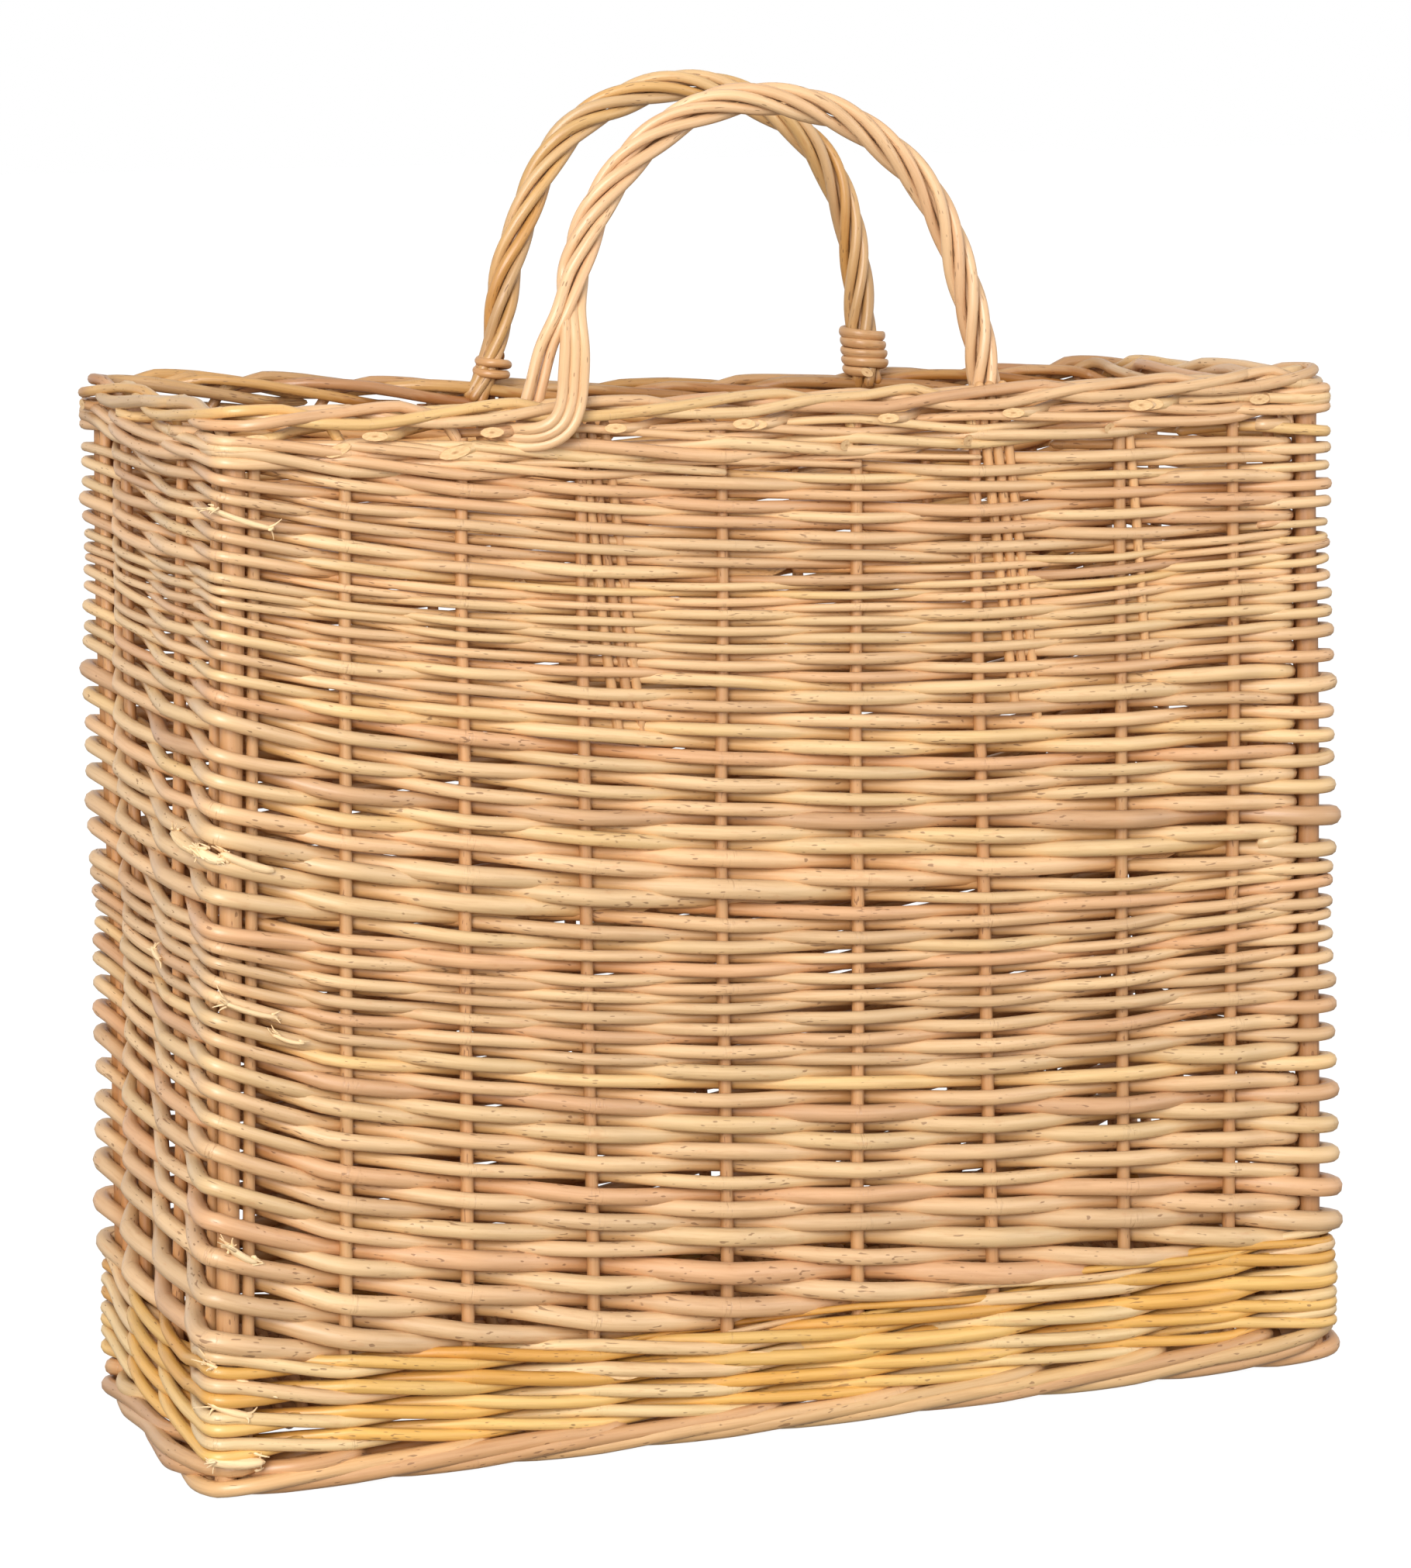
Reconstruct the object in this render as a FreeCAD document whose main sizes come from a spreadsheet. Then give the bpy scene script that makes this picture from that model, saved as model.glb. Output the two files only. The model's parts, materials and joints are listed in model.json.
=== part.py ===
import FreeCAD, Part
import os, math

# Rectangular wicker log basket, straight sided, with two roped bow handles.
# Millimetres.  Z up, X along the long side, the front long side faces -Y.
# The origin is at the middle of the footprint, on the surface it stands on.

doc = FreeCAD.newDocument("log_basket")
V = FreeCAD.Vector

# ---------------------------------------------------------------- dimensions
sheet = doc.addObject("Spreadsheet::Sheet", "params")
ROWS = []


def param(alias, value):
    row = len(ROWS) + 1
    sheet.set("A%d" % row, alias)
    sheet.set("B%d" % row, repr(float(value)))
    sheet.setAlias("B%d" % row, alias)
    ROWS.append(alias)


DIMS = [
    # outside of the woven wall, half sizes at the floor and at the rim
    ("half_x_floor", 257.75), ("half_y_floor", 92.5),
    ("half_x_rim", 244.45), ("half_y_rim", 108.25),
    ("rim_height", 440.0),
    # wall thicknesses of the woven bands
    ("foot_thick", 20.0), ("foot_inset", 0.0),
    ("wale_thick", 15.0), ("siding_thick", 13.6),
    ("border_thick", 24.0), ("border_inset", 1.0),
    # heights at which one band ends and the next begins
    ("foot_top", 20.0), ("wale_top", 63.0),
    ("lower_top", 231.0), ("middle_top", 363.0),
    ("upper_top", 408.0), ("top_wale_top", 418.0),
    ("border_top_front", 439.0), ("border_top_back", 430.0),
    ("border_top_side", 439.0),
    # woven base
    ("base_low", 22.0), ("base_high", 35.0),
    ("base_stick_d", 7.0), ("base_stick_outer_d", 9.0),
    ("base_stick_pitch", 22.0), ("base_stick_inset", 0.5),
    # upright rods
    ("stake_butt_d", 5.8), ("stake_tip_d", 5.0),
    ("post_d", 9.4), ("bye_d", 4.6),
    ("stake_foot", 4.0), ("stake_head", 424.0),
    ("channel_gap", 0.3),
    # roped bow handles
    ("rope_d", 14.0), ("handle_core_d", 6.0), ("handle_core_gap", 0.1),
    ("handle_y", 94.8), ("liner_d", 4.2),
    ("binding_d", 4.6),
    ("sleeve_h", 20.0), ("sleeve_wall", 3.6),
]
for a, v in DIMS:
    param(a, v)

# x of the stakes on a long wall: at the floor and at the rim
FRONT = [(-196.4, -189.7), (-143.7, -141.9), (-89.2, -92.3), (-30.5, -31.5),
         (29.7, 27.6), (93.0, 80.9), (156.0, 146.6), (205.5, 200.9)]
# y of the stakes on a short wall
SIDE = [(-18.0, -37.0), (38.0, 53.0)]
for i, (b, t) in enumerate(FRONT):
    param("front_stake_%d_floor" % (i + 1), b)
    param("front_stake_%d_rim" % (i + 1), t)
for i, (b, t) in enumerate(SIDE):
    param("side_stake_%d_floor" % (i + 1), b)
    param("side_stake_%d_rim" % (i + 1), t)
doc.recompute()


def val(alias):
    return float(sheet.get(alias))


H = val("rim_height")


def half_x(z):
    return val("half_x_floor") + (val("half_x_rim") - val("half_x_floor")) * z / H


def half_y(z):
    return val("half_y_floor") + (val("half_y_rim") - val("half_y_floor")) * z / H


def ex_x(zexpr):
    return ("(params.half_x_floor + (params.half_x_rim - params.half_x_floor)"
            " * (%s) / params.rim_height)" % zexpr)


def ex_y(zexpr):
    return ("(params.half_y_floor + (params.half_y_rim - params.half_y_floor)"
            " * (%s) / params.rim_height)" % zexpr)


NODES = []            # (label, object) written out at the end
ALL = []


def keep(label, obj):
    obj.Label = label
    NODES.append((label, obj))
    return obj


def lay_up(obj):
    # a wedge grows along its own Y; stand it so that its Y is the height and
    # its Z runs to -Y of the basket
    obj.Placement = FreeCAD.Placement(V(0, 0, 0), FreeCAD.Rotation(V(1, 0, 0), 90))


# ------------------------------------------------------------- wall slabs
def slab(name, wall, z0, z1, thick, inset="0"):
    """One wall of a woven band: a slab whose faces follow the slope of the
    basket.  z0, z1, thick and inset are expressions in the dimension sheet.
    The long walls run the full width and the short walls stand between them,
    face to face."""
    w = doc.addObject("Part::Wedge", name)
    w.setExpression("Ymin", z0)
    w.setExpression("Ymax", z1)
    X0, X1 = ex_x(z0), ex_x(z1)
    Y0, Y1 = ex_y(z0), ex_y(z1)
    i, t = "(%s)" % inset, "(%s)" % thick
    if wall in ("front", "back"):
        w.setExpression("Xmin", "-(%s - %s)" % (X0, i))
        w.setExpression("Xmax", "%s - %s" % (X0, i))
        w.setExpression("X2min", "-(%s - %s)" % (X1, i))
        w.setExpression("X2max", "%s - %s" % (X1, i))
        if wall == "front":
            w.setExpression("Zmin", "%s - %s - %s" % (Y0, i, t))
            w.setExpression("Zmax", "%s - %s" % (Y0, i))
            w.setExpression("Z2min", "%s - %s - %s" % (Y1, i, t))
            w.setExpression("Z2max", "%s - %s" % (Y1, i))
        else:
            w.setExpression("Zmin", "-(%s - %s)" % (Y0, i))
            w.setExpression("Zmax", "-(%s - %s - %s)" % (Y0, i, t))
            w.setExpression("Z2min", "-(%s - %s)" % (Y1, i))
            w.setExpression("Z2max", "-(%s - %s - %s)" % (Y1, i, t))
    else:
        w.setExpression("Zmin", "-(%s - %s - %s)" % (Y0, i, t))
        w.setExpression("Zmax", "%s - %s - %s" % (Y0, i, t))
        w.setExpression("Z2min", "-(%s - %s - %s)" % (Y1, i, t))
        w.setExpression("Z2max", "%s - %s - %s" % (Y1, i, t))
        if wall == "left":
            w.setExpression("Xmin", "-(%s - %s)" % (X0, i))
            w.setExpression("Xmax", "-(%s - %s - %s)" % (X0, i, t))
            w.setExpression("X2min", "-(%s - %s)" % (X1, i))
            w.setExpression("X2max", "-(%s - %s - %s)" % (X1, i, t))
        else:
            w.setExpression("Xmin", "%s - %s - %s" % (X0, i, t))
            w.setExpression("Xmax", "%s - %s" % (X0, i))
            w.setExpression("X2min", "%s - %s - %s" % (X1, i, t))
            w.setExpression("X2max", "%s - %s" % (X1, i))
    lay_up(w)
    ALL.append(w)
    return w


# ------------------------------------------------------------- upright rods
STAKE_IN = 7.0        # centre line of the stakes, inside the woven surface


def place_between(obj, p0, p1):
    d = p1.sub(p0)
    obj.Placement = FreeCAD.Placement(p0, FreeCAD.Rotation(V(0, 0, 1), d))
    return d.Length


def rod(name, p0, p1, d0, d1):
    """Tapered straight rod from p0 (thick end) to p1."""
    r = doc.addObject("Part::Cone", name)
    r.setExpression("Radius1", "%s / 2" % d0)
    r.setExpression("Radius2", "%s / 2" % d1)
    r.Height = place_between(r, p0, p1)
    ALL.append(r)
    return r


def channel(name, p0, p1, d):
    """Clearance for a rod through the weave, running past both of its ends."""
    u = p1.sub(p0)
    u.normalize()
    a, b = p0.sub(u * 0.3), p1.add(u * 0.3)
    r = doc.addObject("Part::Cylinder", name)
    r.setExpression("Radius", "%s / 2 + params.channel_gap" % d)
    r.Height = place_between(r, a, b)
    ALL.append(r)
    return r


def on_wall(wall, s_floor, s_rim, z):
    """Point on the stake line of a wall; s is the place along the wall."""
    s = s_floor + (s_rim - s_floor) * z / H
    if wall == "front":
        return V(s, -(half_y(z) - STAKE_IN), z)
    if wall == "back":
        return V(s, half_y(z) - STAKE_IN, z)
    if wall == "left":
        return V(-(half_x(z) - STAKE_IN), s, z)
    return V(half_x(z) - STAKE_IN, s, z)


ZF, ZH = val("stake_foot"), val("stake_head")
channels = {"front": [], "back": [], "left": [], "right": []}
groups = {}


def upright(group, wall, s0, s1, d0, d1, z0=ZF, z1=ZH):
    n = len(groups.setdefault(group, [])) + 1
    p0, p1 = on_wall(wall, s0, s1, z0), on_wall(wall, s0, s1, z1)
    groups[group].append(rod("%s_%d" % (group, n), p0, p1,
                             "params." + d0, "params." + d1))
    channels[wall].append(channel("%s_way_%d" % (group, n), p0, p1, "params." + d0))


for wall in ("front", "back"):
    for i in range(len(FRONT)):
        upright("stakes_" + wall, wall, val("front_stake_%d_floor" % (i + 1)),
                val("front_stake_%d_rim" % (i + 1)), "stake_butt_d", "stake_tip_d")
for wall in ("left", "right"):
    for i in range(len(SIDE)):
        upright("stakes_" + wall, wall, val("side_stake_%d_floor" % (i + 1)),
                val("side_stake_%d_rim" % (i + 1)), "stake_butt_d", "stake_tip_d")

# thick posts stand in the four corners, inside the long walls
for sx, xn in ((-1, "left"), (1, "right")):
    for wall in ("front", "back"):
        upright("corner_post_%s_%s" % (wall, xn), wall,
                sx * (half_x(0) - 10.0), sx * (half_x(H) - 10.0), "post_d", "post_d")

# thin bye-stakes stand beside each corner post, one on each wall
for sx in (-1, 1):
    for wall in ("front", "back"):
        upright("bye_stakes", wall, sx * (half_x(0) - 19.6), sx * (half_x(H) - 19.0),
                "bye_d", "bye_d")
for sy in (-1, 1):
    for wall in ("left", "right"):
        upright("bye_stakes", wall, sy * (half_y(0) - 19.0 - 1.5),
                sy * (half_y(H) - 19.0 - 1.5), "bye_d", "bye_d")
        # it also brushes the end of the long wall where that wall is thicker
        channels["front" if sy < 0 else "back"].append(channels[wall][-1])

# handle liners: three rods driven down beside a stake under each handle foot
LINERS = {
    "front_handle_liner_left": ("front", [(-86.3, 436.0, -71.5, 300.0)]),
    "front_handle_liner_right": ("front", [(88.0, 436.0, 106.0, 300.0)]),
    "back_handle_liner_left": ("back", [(-60.5, 427.0, -52.0, 300.0)]),
    "back_handle_liner_right": ("back", [(116.0, 427.0, 120.0, 300.0)]),
}
for name, (wall, runs) in LINERS.items():
    xt, zt, xb, zb = runs[0]
    for k in (0, 1, 2):
        off = k * 4.9
        sgn = 1 if wall == "front" else -1
        p0 = V(xb + off, -sgn * (half_y(zb) - STAKE_IN), zb)
        p1 = V(xt + off, -sgn * (half_y(zt) - STAKE_IN), zt)
        groups.setdefault(name, []).append(
            rod("%s_%d" % (name, k + 1), p0, p1, "params.liner_d", "params.liner_d"))
        channels[wall].append(channel("%s_way_%d" % (name, k + 1), p0, p1, "params.liner_d"))


def compound(name, links):
    c = doc.addObject("Part::Compound", name)
    c.Links = links
    ALL.append(c)
    return c


tools = {w: compound("ways_" + w, channels[w]) for w in channels}


def cut(name, base, tool):
    c = doc.addObject("Part::Cut", name)
    c.Base = base
    c.Tool = tool
    ALL.append(c)
    return c


# --------------------------------------------------------------- the bands
def band(label, z0, z1, thick, inset="0", tops=None):
    walls = []
    for wall in ("front", "back", "left", "right"):
        top = z1 if tops is None else tops[wall]
        w = slab("%s_%s_blank" % (label, wall), wall, z0, top, thick, inset)
        walls.append(cut("%s_%s" % (label, wall), w, tools[wall]))
    return keep(label, compound(label + "_all", walls))


band("foot_border", "0", "params.foot_top", "params.foot_thick", "params.foot_inset")
band("bottom_wale", "params.foot_top", "params.wale_top", "params.wale_thick")
band("siding_lower", "params.wale_top", "params.lower_top", "params.siding_thick")
band("siding_middle", "params.lower_top", "params.middle_top", "params.siding_thick")
band("siding_upper", "params.middle_top", "params.upper_top", "params.siding_thick")
band("top_wale", "params.upper_top", "params.top_wale_top", "params.wale_thick")
band("top_border", "params.top_wale_top", None, "params.border_thick",
     "params.border_inset",
     {"front": "params.border_top_front", "back": "params.border_top_back",
      "left": "params.border_top_side", "right": "params.border_top_side"})

for g, rods in groups.items():
    if len(rods) == 1:
        keep(g, rods[0])
    else:
        keep(g, compound(g + "_all", rods))

# --------------------------------------------------------------- the base
# seven sticks run the length of the base, the two outer ones thicker, and a
# woven panel closes round them
ZB = (val("base_low") + val("base_high")) / 2
stick_len = 2 * (half_x(val("base_high")) - val("wale_thick") - val("base_stick_inset"))
sticks, stick_ways = [], []
for k in range(-3, 4):
    d = "base_stick_outer_d" if abs(k) == 3 else "base_stick_d"
    s = doc.addObject("Part::Cylinder", "base_stick_%d" % (k + 4))
    s.setExpression("Radius", "params.%s / 2" % d)
    s.Height = stick_len
    s.Placement = FreeCAD.Placement(V(-stick_len / 2, k * val("base_stick_pitch"), ZB),
                                    FreeCAD.Rotation(V(0, 1, 0), 90))
    w = doc.addObject("Part::Cylinder", "base_way_%d" % (k + 4))
    w.setExpression("Radius", "params.%s / 2 + 0.1" % d)
    w.Height = stick_len + 20
    w.Placement = FreeCAD.Placement(V(-stick_len / 2 - 10, k * val("base_stick_pitch"), ZB),
                                    FreeCAD.Rotation(V(0, 1, 0), 90))
    ALL.extend([s, w])
    sticks.append(s)
    stick_ways.append(w)
keep("base_sticks", compound("base_sticks_all", sticks))

panel = doc.addObject("Part::Wedge", "base_blank")
for z, a, b, c, d in (("params.base_low", "Xmin", "Xmax", "Zmin", "Zmax"),
                      ("params.base_high", "X2min", "X2max", "Z2min", "Z2max")):
    hx = "(%s - params.wale_thick - 0.2)" % ex_x(z)
    hy = "(%s - params.wale_thick - 0.2)" % ex_y(z)
    panel.setExpression(a, "-" + hx)
    panel.setExpression(b, hx)
    panel.setExpression(c, "-" + hy)
    panel.setExpression(d, hy)
panel.setExpression("Ymin", "params.base_low")
panel.setExpression("Ymax", "params.base_high")
lay_up(panel)
ALL.append(panel)
keep("base_weave", cut("base_panel", panel, compound("base_ways", stick_ways)))


# ------------------------------------------------------------- the handles
def arc_path(pts):
    """Straight runs joined by tangent arcs, each arc as large as its runs allow."""
    edges, start, length = [], pts[0], 0.0
    for i in range(1, len(pts) - 1):
        a, b, c = pts[i - 1], pts[i], pts[i + 1]
        u, v = a.sub(b), c.sub(b)
        run = min(u.Length, v.Length)
        u.normalize()
        v.normalize()
        turn = math.pi - u.getAngle(v)
        reach = 0.45 * run
        radius = reach / math.tan(turn / 2)
        p, q = b.add(u * reach), b.add(v * reach)
        mid = u.add(v)
        mid.normalize()
        m = b.add(mid * (math.hypot(reach, radius) - radius))
        edges.append(Part.LineSegment(start, p).toShape())
        edges.append(Part.Arc(p, m, q).toShape())
        start = q
        print("  arc radius %.0f" % radius)
    edges.append(Part.LineSegment(start, pts[-1]).toShape())
    return Part.Wire(edges)


def tube(name, pts, d_expr, d_val):
    """Round bar of the given diameter along a planar path."""
    path = arc_path(pts)
    spine = doc.addObject("Part::Feature", name + "_line")
    spine.Shape = path
    ring = doc.addObject("Part::Circle", name + "_section")
    ring.setExpression("Radius", "%s / 2" % d_expr)
    ring.Placement = FreeCAD.Placement(pts[0],
                                       FreeCAD.Rotation(V(0, 0, 1), pts[1].sub(pts[0])))
    s = doc.addObject("Part::Sweep", name)
    s.Sections = [ring]
    s.Spine = (spine, ["Edge%d" % (k + 1) for k in range(len(path.Edges))])
    s.Solid = True
    s.Frenet = False
    ALL.append(s)
    doc.recompute()
    want = math.pi * d_val ** 2 / 4 * path.Length
    print("%s: length %.1f mm, volume %.0f of %.0f mm3" % (name, path.Length,
                                                          s.Shape.Volume, want))
    if abs(s.Shape.Volume / want - 1) > 0.01:
        raise RuntimeError(name + " has the wrong volume")
    return s


# centre line of each bow: x, z
BOWS = {
    "front": (-1, [(-97.3, 441.2), (-94.6, 478.0), (-80.0, 521.0), (-46.0, 550.5),
                   (-5.0, 559.5), (34.0, 546.0), (62.0, 518.0), (77.0, 482.0),
                   (86.6, 441.2)]),
    "back": (1, [(-63.1, 432.4), (-53.5, 478.0), (-34.0, 530.0), (-4.0, 556.0),
                 (37.0, 566.0), (77.0, 553.0), (103.0, 523.0), (114.5, 482.0),
                 (117.4, 431.6)]),
}
for side, (sy, pts2) in BOWS.items():
    y = sy * val("handle_y")
    pts = [V(x, y, z) for x, z in pts2]
    core = tube("%s_core" % side, pts, "params.handle_core_d", val("handle_core_d"))
    outer = tube("%s_rope_blank" % side, pts, "params.rope_d", val("rope_d"))
    bore = tube("%s_rope_bore" % side, pts,
                "(params.handle_core_d + 2 * params.handle_core_gap)",
                val("handle_core_d") + 2 * val("handle_core_gap"))
    rope = cut("%s_rope" % side, outer, bore)
    keep("%s_handle_core" % side, core)
    keep("%s_handle_rope" % side, rope)

# the back bow's feet are bound: two turns on the left, a flat sleeve of turns
# on the right.  Each binding follows the bow's own axis there.
bp = BOWS["back"][1]
yb = val("handle_y")
a, b = V(bp[0][0], yb, bp[0][1]), V(bp[1][0], yb, bp[1][1])
u = b.sub(a)
u.normalize()
turns = []
for k in range(2):
    t = doc.addObject("Part::Torus", "back_turn_%d" % (k + 1))
    t.setExpression("Radius1", "params.rope_d / 2 + params.binding_d / 2 + 0.05")
    t.setExpression("Radius2", "params.binding_d / 2")
    t.Placement = FreeCAD.Placement(a.add(u * (3.6 + 5.6 * k)),
                                    FreeCAD.Rotation(V(0, 0, 1), u))
    ALL.append(t)
    turns.append(t)
keep("back_handle_binding_left", compound("back_turns", turns))

a, b = V(bp[-1][0], yb, bp[-1][1]), V(bp[-2][0], yb, bp[-2][1])
u = b.sub(a)
u.normalize()
outer = doc.addObject("Part::Cylinder", "sleeve_outer")
outer.setExpression("Radius", "params.rope_d / 2 + params.sleeve_wall")
outer.setExpression("Height", "params.sleeve_h")
inner = doc.addObject("Part::Cylinder", "sleeve_inner")
inner.setExpression("Radius", "params.rope_d / 2 + 0.05")
inner.setExpression("Height", "params.sleeve_h + 4")
outer.Placement = FreeCAD.Placement(a.add(u * 1.0), FreeCAD.Rotation(V(0, 0, 1), u))
inner.Placement = FreeCAD.Placement(a.sub(u * 1.0), FreeCAD.Rotation(V(0, 0, 1), u))
ALL.extend([outer, inner])
keep("back_handle_binding_right", cut("sleeve", outer, inner))

# ------------------------------------------------------------- write it out
doc.recompute()
bad = [o.Name for o in doc.Objects if "Invalid" in o.State or "Error" in o.State]
if bad:
    raise RuntimeError("failed objects: " + ", ".join(bad))
for label, obj in NODES:
    s = obj.Shape
    if s.isNull() or not s.isValid() or not s.Solids:
        raise RuntimeError(label + " has no valid solid")

os.makedirs("parts", exist_ok=True)
total = 0.0
for label, obj in NODES:
    obj.Shape.exportStep("parts/%s.step" % label)
    total += obj.Shape.Volume
    bb = obj.Shape.BoundBox
    print("%-28s %2d solids %9.0f mm3  x %.1f..%.1f  y %.1f..%.1f  z %.1f..%.1f" % (
        label, len(obj.Shape.Solids), obj.Shape.Volume, bb.XMin, bb.XMax,
        bb.YMin, bb.YMax, bb.ZMin, bb.ZMax))
print("%d nodes, %.6f m3 in all" % (len(NODES), total / 1e9))
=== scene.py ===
"""Wicker log basket: the visible willow work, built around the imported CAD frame.
All lengths in this script are millimetres until a mesh is made; the frame is the CAD's own."""

import bpy
import json
import math
import numpy as np
from mathutils import Matrix, Vector

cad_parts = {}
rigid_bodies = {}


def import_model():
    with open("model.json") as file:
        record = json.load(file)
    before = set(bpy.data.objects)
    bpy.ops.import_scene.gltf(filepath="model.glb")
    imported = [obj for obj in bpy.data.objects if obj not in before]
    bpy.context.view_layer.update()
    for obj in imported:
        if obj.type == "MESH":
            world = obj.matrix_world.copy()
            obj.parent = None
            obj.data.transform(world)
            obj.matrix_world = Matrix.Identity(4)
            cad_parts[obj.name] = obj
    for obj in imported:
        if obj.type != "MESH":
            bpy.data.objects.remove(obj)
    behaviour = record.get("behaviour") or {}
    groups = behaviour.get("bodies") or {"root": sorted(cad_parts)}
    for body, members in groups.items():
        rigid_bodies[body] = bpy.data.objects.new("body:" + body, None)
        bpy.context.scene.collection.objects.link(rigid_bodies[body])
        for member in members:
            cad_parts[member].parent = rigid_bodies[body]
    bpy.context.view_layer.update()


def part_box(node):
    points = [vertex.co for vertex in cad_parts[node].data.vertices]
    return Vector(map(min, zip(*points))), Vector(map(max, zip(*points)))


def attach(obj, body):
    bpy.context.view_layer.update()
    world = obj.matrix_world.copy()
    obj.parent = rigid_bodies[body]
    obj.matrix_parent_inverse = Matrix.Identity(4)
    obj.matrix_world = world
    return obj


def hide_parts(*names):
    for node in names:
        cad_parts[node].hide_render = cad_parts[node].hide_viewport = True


for _o in list(bpy.data.objects):
    bpy.data.objects.remove(_o)

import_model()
rng = np.random.default_rng(20260611)

# ------------------------------------------------------------------ the basket's own figures (as in the CAD)
HEIGHT = 440.0
HX0, HX1 = 257.75, 244.45
HY0, HY1 = 92.5, 108.25
INSET = 7.0  # stake line inside the outer face
FRONT = [(-196.4, -189.7), (-143.7, -141.9), (-89.2, -92.3), (-30.5, -31.5),
         (29.7, 27.6), (93.0, 80.9), (156.0, 146.6), (205.5, 200.9)]
SIDE = [(-18.0, -37.0), (38.0, 53.0)]
HANDLE_Y = 94.8
lo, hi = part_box("siding_lower")
assert abs(hi.x * 1000 - (HX0 + (HX1 - HX0) * 63 / HEIGHT)) < 2.0, "the walls have moved in the CAD"


def half_x(z):
    return HX0 + (HX1 - HX0) * np.asarray(z, float) / HEIGHT


def half_y(z):
    return HY0 + (HY1 - HY0) * np.asarray(z, float) / HEIGHT


# 24 places round the wall, in the order the rods travel: leftwards along the front, then left side, back, right side
PLACES = ([("front", f) for f in reversed(FRONT)] + [("corner", (-1, -1))]
          + [("left", s) for s in SIDE] + [("corner", (-1, 1))]
          + [("back", f) for f in FRONT] + [("corner", (1, 1))]
          + [("right", s) for s in reversed(SIDE)] + [("corner", (1, -1))])
NP_ = len(PLACES)
ALONG = {"front": (-1, 0), "left": (0, 1), "back": (1, 0), "right": (0, -1)}
OUT = {"front": (0, -1), "left": (-1, 0), "back": (0, 1), "right": (1, 0)}


def place(k, z):
    """Stake k's centre at height z, and the outward direction there."""
    kind, v = PLACES[k % NP_]
    t = z / HEIGHT
    if kind == "corner":
        return np.array([v[0] * (half_x(z) - 10.0), v[1] * (half_y(z) - INSET)]), None
    c = v[0] + (v[1] - v[0]) * t
    if kind == "front":
        return np.array([c, -(half_y(z) - INSET)]), np.array([0.0, -1.0])
    if kind == "back":
        return np.array([c, half_y(z) - INSET]), np.array([0.0, 1.0])
    if kind == "left":
        return np.array([-(half_x(z) - INSET), c]), np.array([-1.0, 0.0])
    return np.array([half_x(z) - INSET, c]), np.array([1.0, 0.0])


def face_weight(x, y, along_long, along_short):
    """along_long on the front and back walls, along_short on the ends, blended at the corners."""
    near = np.clip((np.abs(np.asarray(y, float)) - 62.0) / 20.0, 0, 1)
    return along_long * near + along_short * (1 - near)


def sag(x, y, z):
    """The wale hangs lower at the middle of the long walls and rides up at the corners, its upper rows more so."""
    top = np.interp(x, [-262, -232, -203, -143, -117, -34, 55, 133, 152, 215, 256], [6.0, 0.9, -3.5, -6.5, -8.0, -12.5, -10.0, -6.8, -6.0, -2.0, 1.0])
    low = np.interp(x, [-255, -184, -117, -34, 52, 133, 240, 256], [-1.4, -3.4, -4.8, -6.2, -5.8, -3.0, 0.8, 1.2])
    t = np.clip((np.asarray(z, float) - 20.0) / 38.0, 0, 1)
    ends = (0.5 - 2.5 * (1 - (np.abs(np.asarray(y, float)) / 95.0) ** 2)) * (0.4 + 0.6 * t)
    return face_weight(x, y, top * t + low * (1 - t), ends)


def lift(x, y):
    """How the finished edge wanders: the back edge runs low in the middle and right, both rise towards the left corners."""
    back = np.interp(x, [-260, -216, -170, -110, -50, 10, 80, 200, 235, 260], [4.6, 4.2, 2.0, -1.6, -5.2, -7.4, -7.8, -7.4, -5.4, -3.5])
    front = np.interp(x, [-260, -215, -170, -100, -50, 20, 80, 130, 200, 260], [2.2, 2.0, 0.6, 0.4, -0.8, -0.6, -1.6, -0.6, 0.0, 1.0])
    w = np.clip(np.asarray(y, float) / 180.0 + 0.5, 0, 1)
    return back * w + front * (1 - w)


def rise(x, y, z):
    """The rows of the siding climb towards the corners."""
    W = np.interp(z, [55, 74, 90, 110, 140, 180, 205, 220, 240, 270, 300, 345, 365, 405, 412, 420, 430, 440],
                  [5.0, 5.0, 6.0, 8.0, 10.5, 11.5, 10.0, 7.5, 7.5, 8.5, 10.5, 10.5, 8.5, 8.0, 6.5, 4.0, 2.0, 0.0])
    fx = (np.minimum(np.abs(np.asarray(x, float)), 252.0) / 205.0) ** 2.25
    fy = 1.15 + 0.4 * (np.minimum(np.abs(np.asarray(y, float)), 95.0) / 95.0) ** 2
    # the left end rides higher still, and the front rods drop from its corner post to the first stake
    E = np.interp(z, [50, 90, 130, 165, 240, 300, 360, 405], [2.5, 7.8, 8.5, 8.0, 2.8, 3.0, 2.5, 0.0])
    drop = np.clip((-np.asarray(x, float) - 203.0) / 48.0, 0, 1)
    return W * face_weight(x, y, fx, fy) + E * drop ** 1.15


def pull(P):
    """The walls are not quite square: low down, the back left corner leans in and the right end is a touch narrower."""
    x, y, z = P.T
    left = np.interp(z, [0, 60, 160, 260, 340], [3.4, 4.6, 4.2, 2.2, 0.0]) * np.clip((-x - 150.0) / 90.0, 0, 1) * np.clip((y + 70.0) / 140.0, 0, 1)
    right = np.interp(z, [0, 60, 200, 330], [0.0, 1.2, 1.0, 0.0]) * np.clip((x - 200.0) / 50.0, 0, 1)
    return np.column_stack([left - right, 0 * x, 0 * x])


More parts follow.
